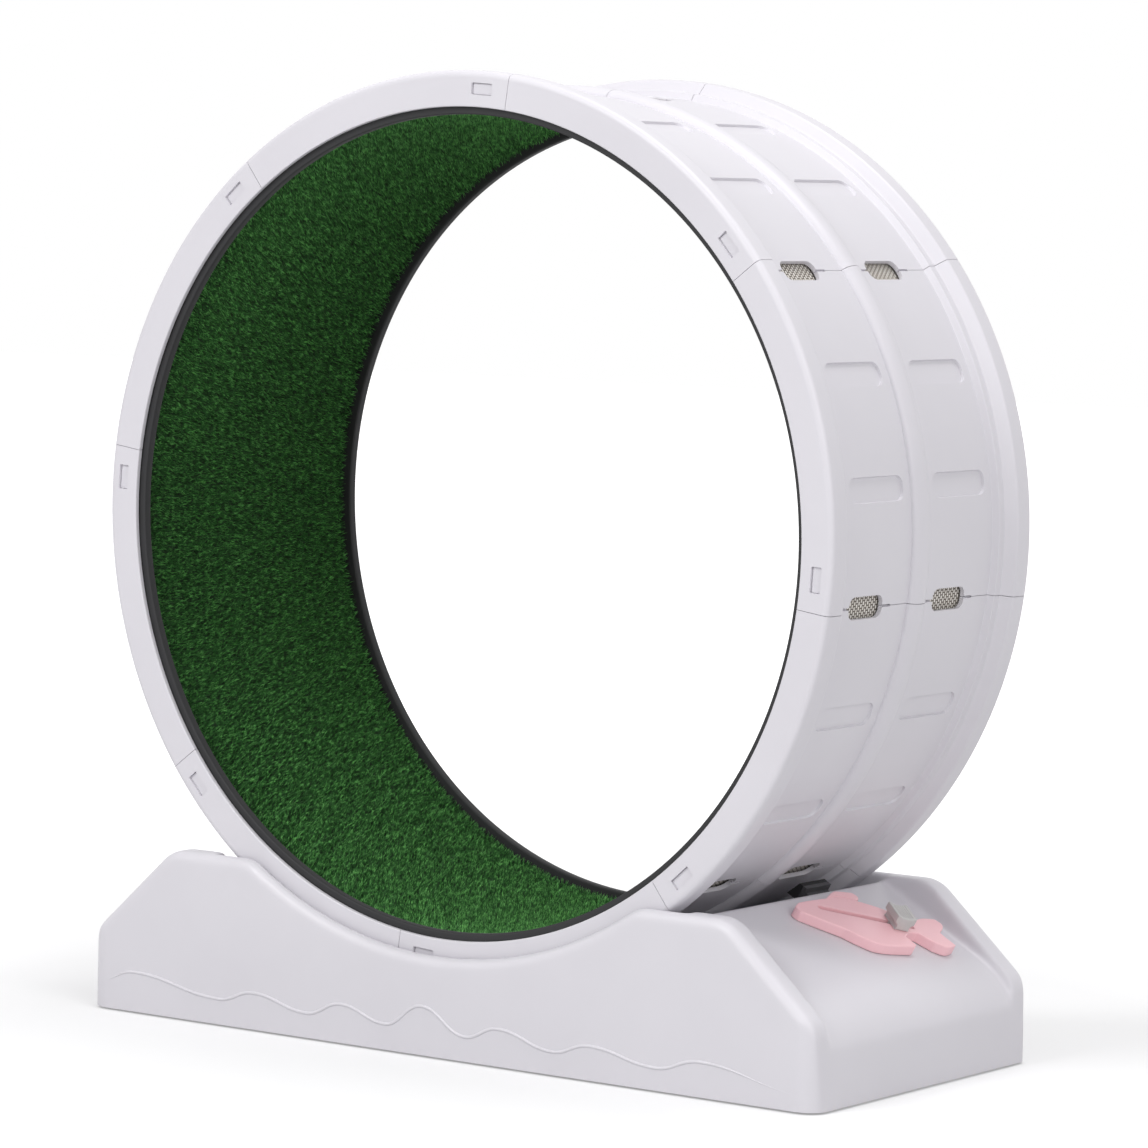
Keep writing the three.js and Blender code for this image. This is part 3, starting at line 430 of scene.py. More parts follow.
def segmentOutline():
    s = segment
    rim = s["halfWidth"] - s["rimWidth"]
    bandEnd = rim - s["rimSlope"]
    bandStart = bandEnd - s["bandWidth"]
    channelEdge = bandStart - s["bandStep"]
    channel = s["channelRadius"]
    band = channel + s["bandRise"]
    startRound, endRound = s["bandRounds"]
    faceInner = s["rimRadius"] - s["faceDepth"]
    flange = s["halfWidth"] - s["faceWall"]
    rib = []
    for i in range(s["ribSteps"]):
        turn = math.pi / 2 * i / s["ribSteps"]
        rib.append((s["ribHalfWidth"] * math.sin(turn), channel + s["ribHeight"] * math.cos(turn)))
    corners = [
        (s["ribHalfWidth"], channel, 0), (channelEdge, channel, s["channelRound"]),
        (bandStart, band, startRound), (bandEnd, band, endRound),
        (rim, s["rimRadius"], s["slopeRound"]), (s["halfWidth"], s["rimRadius"], s["rimRound"]),
        (s["halfWidth"], faceInner, s["lipRound"]), (flange, faceInner, s["lipRound"]),
        (flange, s["rimRadius"] - s["rimRound"], 0),
        (s["halfWidth"] - s["rimRound"], s["rimRadius"] - s["wall"], 0),
        (rim + s["wall"] / 2, s["rimRadius"] - s["wall"], 0),
        (channelEdge, channel - s["wall"], 0),
    ]
    half = rib + rounded(corners, 5)
    mirrored = [(-across, radius) for across, radius in reversed(half) if across > 0]
    return half + mirrored, channelEdge


def faceOut(made, degrees):  # turns a piece drawn at +X around the axis to its angle
    made.data.transform(around(degrees) @ Matrix.Translation(wheelAxis))
    return made


def alongRim(length):  # degrees of a length along the latches' circle
    return math.degrees(length / latch["radius"])


def pocketCutter(degrees, middle, channelEdge):
    p = pocket
    length = channelEdge - segment["ribHalfWidth"] - 2 * p["margin"]
    floor = segment["channelRadius"] - p["depth"]
    made = block("pocketCutter", (floor, middle - length / 2, -p["along"] / 2),
                 (floor + p["depth"] + p["cutAbove"], middle + length / 2, p["along"] / 2),
                 p["corner"], "X", 8)
    for vert in made.data.vertices:  # the pocket's walls lean outwards
        if vert.co.x < (floor + 1) * mm:
            vert.co.z *= 1 - 2 * p["slope"] / p["along"]
            vert.co.y = middle * mm + (vert.co.y - middle * mm) * (1 - 2 * p["slope"] / length)
    return faceOut(made, degrees)


def holeCutters(degrees, middle):  # the hole across a seam, and the slot that runs past its ends
    h = seamHole
    channel, wall = segment["channelRadius"], segment["wall"]
    hole = block("holeCutter", (channel - 2 * wall, middle - h["across"] / 2, -h["along"] / 2),
                 (channel + 2 * wall, middle + h["across"] / 2, h["along"] / 2),
                 h["corner"], "X", 8)
    reach = h["across"] / 2 + h["slotReach"]
    slit = block("slotCutter", (channel - h["slotDepth"], middle - reach, -h["slotWidth"] / 2),
                 (channel + 2 * wall, middle + reach, h["slotWidth"] / 2))
    return [faceOut(hole, degrees), faceOut(slit, degrees)]


def latchBlock(name, seam, side, low, high, gap):
    near, far = sorted((side * low, side * high))
    span = latch["length"] / 2 + gap
    tall = latch["height"] / 2 + gap
    made = block(name, (latch["radius"] - tall, near, -span), (latch["radius"] + tall, far, span),
                 latch["corner"], "Y", 3)
    return faceOut(made, seam + alongRim(latch["offset"]))


def tongue(seam, side):  # reaches into the next segment's rim and fills its window
    s = segment
    flange = s["halfWidth"] - s["faceWall"] - latch["tongueGap"]
    top = latch["tongueTop"]
    low = top - latch["tongueHeight"]
    near, far = side * latch["tongueInner"], side * flange
    corner = latch["tongueRound"]
    outline = rounded([(x, y, corner)
                       for x, y in ((near, low), (far, low), (far, top), (near, top))], 3)
    start = seam - alongRim(latch["tongueRoot"])
    sweep = alongRim(latch["tongueRoot"] + latch["tongueEnd"])
    blade = sweepRound("tongue", outline, start, sweep, 6)
    catch = latchBlock("catch", seam, side, flange - latch["catchRoot"],
                       s["halfWidth"] - latch["recess"], 0)
    return joinMeshes(blade, soften(catch, latch["edge"]))


def makeSegments():
    outline, channelEdge = segmentOutline()
    span = 360 / segment["count"]
    gap = math.degrees(segment["seamGap"] / segment["rimRadius"])
    start = segment["firstSeam"]
    first = sweepRound("segment", outline, start + gap / 2, span - gap, segment["steps"])
    cutters = []
    face, past = segment["halfWidth"], latch["cutPast"]
    for channel in (-1, 1):
        middle = channel * (segment["ribHalfWidth"] + channelEdge) / 2
        for seam in (start, start + span):
            cutters += holeCutters(seam, middle + seamHole["shift"])
        for i in range(pocket["perSegment"]):
            degrees = start + span * (i + 1) / (pocket["perSegment"] + 1)
            cutters.append(pocketCutter(degrees, middle, channelEdge))
        cutters.append(latchBlock("window", start, channel, face - segment["faceWall"] - past,
                                  face + past, latch["gap"]))
    cut(first, cutters)
    soften(first, segment["edgeRound"])
    joinMeshes(first, tongue(start + span, -1), tongue(start + span, 1))
    evenShading(first)
    for i in range(segment["count"]):
        made = copyOf(first, f"moulded_segment_{i + 1}", around(i * span))
        finishPiece(made, "wheel", looks["whitePlastic"],
                    [f"wheel_segment_{i + 1}"])
    discard(first)


makeSegments()
print("segments made")


turf = {"backRadius": 378, "backDepth": 1.6, "thatchDepth": 2.4, "tipRadius": 366, "edge": 145.9,
        "tile": 7.5, "spacing": 2.2, "bladeWidth": 1.9, "rootMargin": 3, "nudge": 0.5,
        "lean": 3.4, "leanFade": 6, "tipRange": (-2.4, 1), "uneven": 1.56, "seat": 0.05, "seed": 11}
trim = {"inner": 361.4, "outer": 377, "near": 147.4, "far": 156.2, "round": 2}


def ring(name, points, steps=240):
    return sweepRound(name, points, 0, 360, steps)


def unwrapRing(made):  # around the ring and across it, in millimetres
    layer = made.data.uv_layers.new(name="UVMap")
    for loop in made.data.loops:
        spot = made.data.vertices[loop.vertex_index].co - wheelAxis
        turn = math.atan2(spot.z, spot.x)
        layer.data[loop.index].uv = (turn * turf["backRadius"], spot.y / mm)


def pileTile(root):  # a flat patch of blades, then rolled to the ring: x along, y across, z up
    t = turf
    length = math.radians(t["tile"]) * root
    columns = round(length / t["spacing"])
    rows = round(2 * t["edge"] / t["spacing"])
    bm = bmesh.new()
    bmesh.ops.create_grid(bm, x_segments=columns, y_segments=rows, size=0.5)
    bmesh.ops.scale(bm, verts=bm.verts, vec=(length, 2 * t["edge"] - t["rootMargin"], 1))
    bmesh.ops.triangulate(bm, faces=bm.faces)
    bmesh.ops.split_edges(bm, edges=bm.edges)
    for face in bm.faces:
        middle = face.calc_center_median()
        nudge = Vector((random.gauss(0, t["nudge"]), random.gauss(0, t["nudge"]), 0))
        turn = Matrix.Rotation(random.uniform(0, math.tau), 3, "Z")
        for i, vert in enumerate(face.verts):
            corner = Vector((math.cos(i * math.tau / 3), math.sin(i * math.tau / 3), 0))
            vert.co = middle + nudge + turn @ corner * t["bladeWidth"] / 2
    roots = bm.edges[:]
    tall = root - t["tipRadius"]
    tips = bmesh.ops.poke(bm, faces=bm.faces)["verts"]
    bmesh.ops.holes_fill(bm, edges=roots, sides=3)
    for vert in tips:
        edge = min(1, (t["edge"] - abs(vert.co.y)) / t["leanFade"])
        vert.co.x += random.gauss(0, t["lean"])
        vert.co.y += random.gauss(0, t["lean"]) * edge
        vert.co.z = tall + random.uniform(*t["tipRange"]) * t["uneven"]
    bmesh.ops.recalc_face_normals(bm, faces=bm.faces)
    for vert in bm.verts:
        turn = vert.co.x / root
        radius = (root - vert.co.z) * mm
        vert.co = wheelAxis + Vector((radius * math.cos(turn), vert.co.y * mm,
                                      radius * math.sin(turn)))
    bmesh.ops.reverse_faces(bm, faces=bm.faces)  # the roll turned the patch over
    return bm


def makeTurf():
    t = turf
    edge = t["edge"]
    inside = t["backRadius"] - t["backDepth"]
    back = ring("turf_backing", [(-edge, inside), (edge, inside), (edge, t["backRadius"]),
                                 (-edge, t["backRadius"])])
    unwrapRing(back)
    finishPiece(shade(back), "wheel", looks["turfBack"], ["turf_mat"])
    # the thatch ring under the blades takes the pile's painted root shade: a dark sheet for the
    # shade between the blades
    low = inside - t["thatchDepth"]
    high = inside - t["seat"]
    thatch = ring("turf_thatch", [(-edge, low), (edge, low), (edge, high), (-edge, high)])
    finishPiece(shade(thatch), "wheel", looks["turfPile"])
    span = 360 / segment["count"]
    tiles = round(span / t["tile"])
    for i in range(segment["count"]):
        random.seed(t["seed"] + i)
        pile = pileTile(inside)
        bmesh.ops.transform(pile, matrix=around(segment["firstSeam"] + span * i + t["tile"] / 2),
                            verts=pile.verts)
        bmesh.ops.spin(pile, geom=pile.verts[:] + pile.edges[:] + pile.faces[:], cent=wheelAxis,
                       axis=(0, -1, 0), angle=math.radians(span - t["tile"]), steps=tiles - 1,
                       use_duplicate=True)
        made = makeObject(f"turf_pile_{i + 1}", pile)
        finishPiece(made, "wheel", looks["turfPile"])


def makeTrims():
    t = trim
    for place, side in (("front", -1), ("back", 1)):
        near, far = side * t["near"], side * t["far"]
        corners = [(near, t["inner"], t["round"]), (far, t["inner"], t["round"]),
                   (far, t["outer"], 0), (near, t["outer"], 0)]
        made = ring(f"turf_trim_{place}", rounded(corners, 4))
        finishPiece(shade(made), "wheel", looks["blackRubber"],
                    [f"edge_trim_{place}"])


makeTurf()
makeTrims()
print("turf made")


base = {
    "endLean": 5, "shoulderHeight": 75, "shoulderRound": 30, "plateauSetIn": 96, "plateauRound": 36,
    "crestRadius": 382, "crestRound": 9, "planCorner": 21, "planPast": 1, "edgeRound": 8, "lift": 2,
    "wellRadius": 412, "wellHalfWidth": 164, "wellSteps": 48, "sideWall": 26, "wall": 3,
    "deckDrop": 5, "deckAngle": 29, "deckRound": 41, "deckFade": 30, "deckAbove": 2, "deckPast": 5,
    "depth": 6, "hollowDepth": 8, "blockDepth": 10, "voxel": 2.2, "smoothing": 13, "keep": 0.3,
    "posts": (95, 31), "postRadius": 6, "postFoot": 6.3, "postTop": 200,
    "feet": (50, 52), "bossRadius": 4.5, "bossFoot": -13.9, "bossTop": 4,
    "underBlock": (500, 300, 20), "window": (3, 4),
}
rollers = {"places": [(-169.325, -1), (-169.325, 1), (169.325, -1), (169.325, 1)], "across": 122.5,
           "height": 92.691, "window": (58, 38)}
lock = {"slotHalfLength": 52, "slotHalfWidth": 3, "along": 53.6, "across": 46.1, "turn": -118.4,
        "deckSlit": (-5, 3), "armWindow": ((-15.8, 48.5, -14.9), (37.9, 84.5, -8.4))}
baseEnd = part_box("base_shell")[1] / mm
axisHeight = wheelAxis.z / mm
deckStartHeight = baseEnd.z - base["deckDrop"]
deckStart = math.sqrt(base["wellRadius"] ** 2 - (axisHeight - deckStartHeight) ** 2)
deckTilt = math.radians(base["deckAngle"])
deckFrame = shift(deckStart, 0, deckStartHeight) @ Matrix.Rotation(deckTilt, 4, "Y")
lockFrame = (deckFrame @ shift(lock["along"], lock["across"], 0)
             @ Matrix.Rotation(math.radians(lock["turn"]), 4, "Z"))


def baseSideView(inset, bottom):
    b = base
    top = baseEnd.z - inset
    lean = b["endLean"] / (b["shoulderHeight"] - b["lift"])
    footX = baseEnd.x + lean * (b["lift"] - bottom) - inset
    endX = baseEnd.x - b["plateauSetIn"]
    slope = math.atan2(baseEnd.z - b["shoulderHeight"], baseEnd.x - b["endLean"] - endX)
    lower = inset * math.tan(slope / 2)
    crest = b["crestRadius"] + inset
    crestX = math.sqrt(crest ** 2 - (axisHeight - top) ** 2)
    first = math.atan2(axisHeight - top, crestX) + b["crestRound"] / crest
    corners = [(0, bottom, 0), (footX, bottom, 0),
               (baseEnd.x - b["endLean"] - inset, b["shoulderHeight"] - lower, b["shoulderRound"]),
               (endX - lower, top, b["plateauRound"]), (crestX + b["crestRound"], top, 0),
               (0, top, 0)]
    right = rounded(corners, 9)[1:-1]
    touch = (crest * math.cos(first), axisHeight - crest * math.sin(first))
    right += bend(right[-1], (crestX, top), touch, 6)[1:]
    steps = b["wellSteps"]
    for i in range(1, steps + 1):
        turn = first + (math.pi / 2 - first) * i / steps
        right.append((crest * math.cos(turn), axisHeight - crest * math.sin(turn)))
    return right + [(-x, z) for x, z in reversed(right[:-1])]


def baseBlock(inset, bottom, rimSegments):  # the side view, with the corners of its plan rounded
    half = baseEnd.y - inset
    made = prism("outer_shell", baseSideView(inset, -base["blockDepth"]), -half, half)
    bm = bmesh.new()
    bm.from_mesh(made.data)
    rims = [e for e in bm.edges if abs(e.verts[0].co.y - e.verts[1].co.y) < mergeDistance
            and max(v.co.z for v in e.verts) > 0]
    bmesh.ops.bevel(bm, geom=rims, offset=(base["edgeRound"] - inset) * mm, segments=rimSegments,
                    profile=0.5, affect="EDGES", material=-1, clamp_overlap=True)
    bm.to_mesh(made.data)
    bm.free()
    reach = baseEnd.x + base["planPast"] - inset
    plan = block("plan", (-reach, -half, bottom), (reach, half, baseEnd.z + base["deckPast"]),
                 base["planCorner"] - inset, "Z", 10)
    return cut(made, [plan], "INTERSECT")


def wellSpace(inset):
    half = base["wellHalfWidth"] + inset
    return rod("well", base["wellRadius"] + inset, -half, half,
               Matrix.Translation(wheelAxis) @ lieDown, 240)


def deckSpace(end, inset):  # the space above one deck, between its side walls
    b = base
    top = baseEnd.z + b["deckAbove"]
    startX = deckStart - inset * math.sin(deckTilt)
    startZ = deckStartHeight - inset * math.cos(deckTilt)
    endX = baseEnd.x - inset
    flatX = endX - b["deckRound"]
    flatZ = startZ - (flatX - startX) * math.tan(deckTilt)
    bendZ = flatZ - (endX - flatX) * math.tan(deckTilt)
    pastX = endX + b["deckPast"]
    points = [(startX - (top - startZ) / math.tan(deckTilt), top)]
    points += bend((flatX, flatZ), (endX, bendZ), (endX, b["deckFade"]), 14)
    points += [(pastX, b["deckFade"]), (pastX, top)]
    half = baseEnd.y - b["sideWall"] + inset
    return prism("aboveDeck", [(end * x, z) for x, z in points], -half, half)


def sixPlaces(kind):  # of the posts or the feet, set in from the base's end and side
    x, y = baseEnd.x - base[kind][0], baseEnd.y - base[kind][1]
    return [(i * x, j * y) for i in (-1, 0, 1) for j in (-1, 1)]


def trayCorners():  # the lock tray's screws, as the deck sees them
    spots = []
    for i in range(4):
        low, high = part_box(f"tray_screw_{i + 1}")
        spots.append(deckFrame.inverted() @ ((low + high) / 2) / mm)
    return spots


def obround(halfLength, halfWidth, steps=10):
    points = []
    for end in (1, -1):
        for i in range(steps + 1):
            turn = math.pi * (i / steps - 0.5)
            points.append((end * (halfLength - halfWidth + halfWidth * math.cos(turn)),
                           end * halfWidth * math.sin(turn)))
    return points


def slotCutter(low, high):
    outline = obround(lock["slotHalfLength"], lock["slotHalfWidth"])
    return prism("slit", outline, low, high, "XY")


def makeBase():
    b = base
    made = baseBlock(0, -b["depth"], 6)
    cut(made, [wellSpace(0), deckSpace(1, 0), deckSpace(-1, 0)])
    melt(made, b["voxel"], b["smoothing"], b["keep"])
    print("base smoothed", len(made.data.polygons))

    hollow = baseBlock(b["wall"], -b["hollowDepth"], 3)
    solids = [wellSpace(b["wall"]), deckSpace(1, b["wall"]), deckSpace(-1, b["wall"])]
    for x, y in sixPlaces("posts"):
        solids.append(rod("post", b["postRadius"], b["postFoot"], b["postTop"], shift(x, y, 0)))
    for spot in trayCorners():
        solids.append(rod("boss", b["bossRadius"], b["bossFoot"], b["bossTop"],
                          deckFrame @ shift(spot.x, spot.y, 0)))
    cut(hollow, solids)
    x, y, low = b["underBlock"]
    cutters = [hollow, block("under", (-x, -y, -low), (x, y, b["lift"]))]
    wide, deep = rollers["window"]
    corner, steps = b["window"]
    for x, side in rollers["places"]:
        y = side * rollers["across"]
        cutters.append(block("window", (x - wide / 2, y - deep / 2, rollers["height"] - wide / 2),
                             (x + wide / 2, y + deep / 2, rollers["height"] + wide / 2),
                             corner, "Z", steps))
    slit = slotCutter(*lock["deckSlit"])
    slit.data.transform(lockFrame)
    (x0, y0, z0), (x1, y1, z1) = lock["armWindow"]
    arm = block("armWindow", (x0, y0, z0), (x1, y1, z1))
    arm.data.transform(deckFrame)
    return cut(made, cutters + [slit, arm])


outer = makeBase()
finishPiece(shade(outer, 50), "base", looks["whitePlastic"], ["base_shell"])
print("base made", len(outer.data.polygons))


wave = {"width": 1.5, "rise": 1.0, "ends": (0.4, -4), "pull": 0.42, "tip": 0.05, "points": [
    (-384, 27.6), (-350, 38.9), (-247, 25.4), (-207, 35.6), (-144, 24.4), (-105, 37.1), (-54, 25.1),
    (-13.5, 45.9), (36, 24.0), (71, 35.3), (132, 22.3), (170, 32.1), (241, 21.6), (286, 32.4),
    (381, 16.7)]}


def makeWave():  # the raised wavy line along the foot of the front panel
    points = wave["points"]
    firstRise, lastRise = wave["ends"]
    flat = bpy.data.curves.new("wave", "CURVE")
    flat.dimensions = "3D"
    flat.bevel_depth = wave["width"] * mm
    flat.bevel_resolution = 3
    flat.use_fill_caps = True
    spline = flat.splines.new("BEZIER")
    spline.resolution_u = 14
    spline.bezier_points.add(len(points) - 1)
    for i, (spot, (x, z)) in enumerate(zip(spline.bezier_points, points)):
        before = (x - points[max(i - 1, 0)][0]) * wave["pull"]
        after = (points[min(i + 1, len(points) - 1)][0] - x) * wave["pull"]
        rise = 0
        spot.radius = 1
        if i in (0, len(points) - 1):
            rise = lastRise if i else (points[1][1] - z) * firstRise
            spot.radius = wave["tip"]
        spot.co = Vector((x, 0, z)) * mm
        spot.handle_left = Vector((x - before, 0, z - rise)) * mm
        spot.handle_right = Vector((x + after, 0, z + rise)) * mm
    drawn = bpy.data.objects.new("wave", flat)
    bpy.context.scene.collection.objects.link(drawn)
    graph = bpy.context.evaluated_depsgraph_get()
    mesh = bpy.data.meshes.new_from_object(drawn.evaluated_get(graph))
    made = bpy.data.objects.new("wave_line", mesh)
    bpy.context.scene.collection.objects.link(made)
    bpy.data.objects.remove(drawn)
    bpy.data.curves.remove(flat)
    flatten = Matrix.Diagonal((1, wave["rise"] / wave["width"], 1, 1))
    made.data.transform(shift(0, -baseEnd.y, 0) @ flatten)
    bm = bmesh.new()
    bm.from_mesh(made.data)
    bmesh.ops.remove_doubles(bm, verts=bm.verts, dist=mergeDistance)
    bmesh.ops.recalc_face_normals(bm, faces=bm.faces)
    bm.to_mesh(made.data)
    bm.free()
    finishPiece(shade(made, 60), "base", looks["whitePlastic"])


makeWave()
print("wave made")


pan = {"corner": 24, "holes": (("posts", 2.3), ("feet", 5.3)), "holeTop": 10, "edge": 0.5}
foot = {"steps": 40, "outline": [
    (0, 0), (8, 0), (8.5, 0.5), (9.5, 0.5), (10, 0), (13.1, 0), (13.8, 0.3), (14, 0.9), (14, 1.9),
    (13.7, 2.5), (13.1, 2.7), (5, 2.7), (5, 6), (0, 6)]}
screw = {"head": [(0, -1.8), (1.6, -1.8), (2.9, -1.5), (3.7, -1), (4, -0.4), (4, 0), (2, 0)],
         "shank": 2, "tip": 1, "recess": 4.2, "recessWidth": 0.9, "recessSpan": (-3, -0.7),
         "panLength": 14, "panTop": 2.7, "trayLength": 10, "trayTop": -17}


def makePan():
    low, high = (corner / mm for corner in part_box("base_pan"))
    made = block("bottom_pan", low, high, pan["corner"], "Z", 8)
    holes = [rod("hole", radius, 0, pan["holeTop"], shift(x, y, 0))
             for kind, radius in pan["holes"] for x, y in sixPlaces(kind)]
    soften(cut(made, holes), pan["edge"])
    finishPiece(evenShading(made), "base", looks["innerPlastic"], ["base_pan"])


def makeFeet():
    first = shade(turned("foot", foot["outline"], foot["steps"]))
    for i, (x, y) in enumerate(sixPlaces("feet")):
        made = copyOf(first, f"moulded_foot_{i + 1}", shift(x, y, 0))
        finishPiece(made, "base", looks["blackRubber"], [f"rubber_foot_{i + 1}"])
    discard(first)


def makeScrew(length):  # head down, with a cross recess
    s = screw
    ends = [(s["shank"], length - s["tip"]), (s["shank"] - s["tip"] / 2, length), (0, length)]
    made = turned("screw", s["head"] + ends, 32)
    low, deep = s["recessSpan"]
    long, thin = s["recess"] / 2, s["recessWidth"] / 2
    cut(made, [block("recess", (-long, -thin, low), (long, thin, deep)),
               block("recess", (-thin, -long, low), (thin, long, deep))])
    return shade(made, 30)


def makeScrews():
    s = screw
    places = [shift(x, y, s["panTop"]) for x, y in sixPlaces("posts")]
    corners = [deckFrame @ shift(spot.x, spot.y, s["trayTop"]) for spot in trayCorners()]
    kinds = (("pan", s["panLength"], places), ("tray", s["trayLength"], corners))
    for kind, length, turns in kinds:
        first = makeScrew(length)
        for i, turn in enumerate(turns):
            made = copyOf(first, f"{kind}_fixing_{i + 1}", turn)
            finishPiece(made, "base", looks["brushedSteel"], [f"{kind}_screw_{i + 1}"])
        discard(first)


makePan()
makeFeet()
makeScrews()
print("pan, feet and screws made")


tyre = rounded([(22, -8, 0.5), (26, -8, 1.8), (26, 8, 1.8), (22, 8, 0.5)], 4)
hub = [(7, -8), (11.5, -8), (12.3, -6.4), (18, -6.4), (18.8, -8), (21.7, -8), (21.7, 8), (18.8, 8),
       (18, 6.4), (13.4, 6.4), (12.8, 8), (11.3, 8), (11.3, 0.7), (7, 0.7)]
bearing = [(4.45, 1.3), (4.8, 1), (10.6, 1), (11, 1.4), (11, 7.6), (10.6, 8), (9.3, 8), (9.1, 7.4),
           (6.7, 7.4), (6.5, 8), (4.8, 8), (4.45, 7.7)]
axle = {"outline": [(0, -16), (3.2, -16), (4, -15.2), (4, 13.3), (7, 13.3), (7, 15.5), (6.2, 16.3),
                    (0, 16.3)], "socket": 2.6, "socketDepth": 1.8}
bracket = {"earInner": 9, "earOuter": 13, "earRound": 9, "earSteps": 16, "footHalf": 22,
           "foot": 6.3, "floor": 4, "hole": 4.3, "cutPast": 5, "cutTop": 20, "edge": 0.8}


def makeBracket():
    b = bracket
    foot = b["foot"] - rollers["height"]
    half, floor, ear = b["footHalf"], foot + b["floor"], b["earRound"]
    outline = [(-half, foot), (half, foot), (half, floor)]
    for i in range(b["earSteps"] + 1):
        turn = math.pi * i / b["earSteps"]
        outline.append((ear * math.cos(turn), ear * math.sin(turn)))
    outline.append((-half, floor))
    made = prism("bracket", outline, -b["earOuter"], b["earOuter"])
    past, top = half + b["cutPast"], b["cutTop"]
    fork = block("fork", (-past, -b["earInner"], floor), (past, b["earInner"], top))
    hole = rod("hole", b["hole"], -top, top, lieDown)
    return evenShading(soften(cut(made, [fork, hole]), b["edge"]))


def makeAxle():
    top, deep = axle["outline"][-1][1], axle["socketDepth"]
    socket = rod("socket", axle["socket"], top - deep, top + deep, Matrix(), 6)
    return shade(cut(turned("axle", axle["outline"], 48), [socket]), 30)


def makeRollers():
    kinds = [("tyre", shade(turned("tyre", tyre, 96)), looks["blackRubber"], "black_rubber"),
             ("hub", shade(turned("hub", hub, 96)), looks["innerPlastic"], "inner_plastic"),
             ("bearing", shade(turned("bearing", bearing, 64), 30), looks["brushedSteel"], "steel"),
             ("axle", makeAxle(), looks["brushedSteel"], "steel")]
    stand = makeBracket()
    for x, side in rollers["places"]:
        place = ("front" if side < 0 else "back") + ("_left" if x < 0 else "_right")
        station = shift(x, side * rollers["across"], rollers["height"])
        lay = Matrix.Rotation(-side * math.pi / 2, 4, "X")
        for kind, drawn, look, slot in kinds:
            made = copyOf(drawn, f"turned_{kind}_{place}", station @ lay)
            body = "base" if kind == "axle" else f"roller_{place}"
            finishPiece(made, body, look, [f"roller_{kind}_{place}"])
        made = copyOf(stand, f"formed_bracket_{place}", station)
        finishPiece(made, "base", looks["innerPlastic"],
                    [f"roller_bracket_{place}"])
    discard(stand, *[kind[1] for kind in kinds])


makeRollers()
print("rollers made")


fish = {"low": 0.3, "high": 10.3, "voxel": 0.7, "smoothing": 4, "keep": 0.3, "slotEdge": 0.5,
        "cutSpan": (-2, 14), "crease": ((0, -27), (18, -31), (32, -20)), "creaseWidth": 0.9,
        "creaseDepth": 0.5,
        "runs": [
            [(72, -1), (79, 8), (76, 15)], [(76, 15), (57, 22), (36, 29)],
            [(36, 29), (22, 38), (2, 44), (-36, 35)], [(-36, 35), (-40, 31)],
            [(-40, 31), (-34, 19)], [(-34, 19), (-42, 11), (-52, 8)], [(-52, 8), (-66, 20)],
            [(-66, 20), (-78, 23), (-90, 16)], [(-90, 16), (-84, 5), (-81, -2)],
            [(-81, -2), (-88, -10), (-91, -18), (-86, -25)], [(-86, -25), (-70, -21), (-57, -13)],
            [(-57, -13), (-51, -11)], [(-51, -11), (-28, -23), (1, -28)],
            [(1, -28), (-6, -31), (-7, -37), (-3, -41)],
            [(-3, -41), (8, -39), (20, -35), (34, -20)], [(34, -20), (57, -9), (72, -1)]]}
knob = {"rest": -32, "half": 10, "halfWidth": 12, "low": 10.6, "high": 24.6, "dip": 1.8,
        "edge": 1.8, "waist": 3.2, "waistRadius": 4.2, "waistHeight": 13.4, "cutPast": 2,
        "voxel": 0.45, "smoothing": 8, "keep": 0.5, "lines": 8, "lineRadius": 0.5, "lineEnd": 2.2,
        "lineLift": 0.3, "stem": (7, 2.7, -7.3), "stemOverlap": 3, "bore": (1.8, -8.3, 4.7)}


def throughPoints(run, steps=6):  # a smooth curve through the points, without its last one
    drawn = []
    ends = [run[0], *run, run[-1]]
    for a, b, c, d in zip(ends, ends[1:], ends[2:], ends[3:]):
        for i in range(steps if len(run) > 2 else 1):
            t = i / steps
            drawn.append(tuple(
                0.5 * (2 * q + (r - p) * t + (2 * p - 5 * q + 4 * r - s) * t * t
                       + (3 * q - p - 3 * r + s) * t ** 3) for p, q, r, s in zip(a, b, c, d)))
    return drawn


def makeFish():
    f = fish
    outline = [point for run in f["runs"] for point in throughPoints(run)]
    made = prism("pink_fish", outline, f["low"], f["high"], "XY")
    melt(made, f["voxel"], f["smoothing"], f["keep"])
    slit = slotCutter(*f["cutSpan"])
    middle = bend(*f["crease"], 12)
    half = f["creaseWidth"] / 2
    band = [(x, y - half) for x, y in middle] + [(x, y + half) for x, y in reversed(middle)]
    groove = prism("groove", band, f["high"] - f["creaseDepth"], f["cutSpan"][1], "XY")
    soften(cut(made, [slit, groove]), f["slotEdge"], 2, 60)
    made.data.transform(lockFrame)
    finishPiece(shade(made, 45), "base", looks["pinkPlastic"], ["fish_plate"])


def rodCutter(radius, halfLength, x, z):  # lies across the slot
    return rod("rod", radius, -halfLength, halfLength, shift(x, 0, z) @ lieDown, 48)


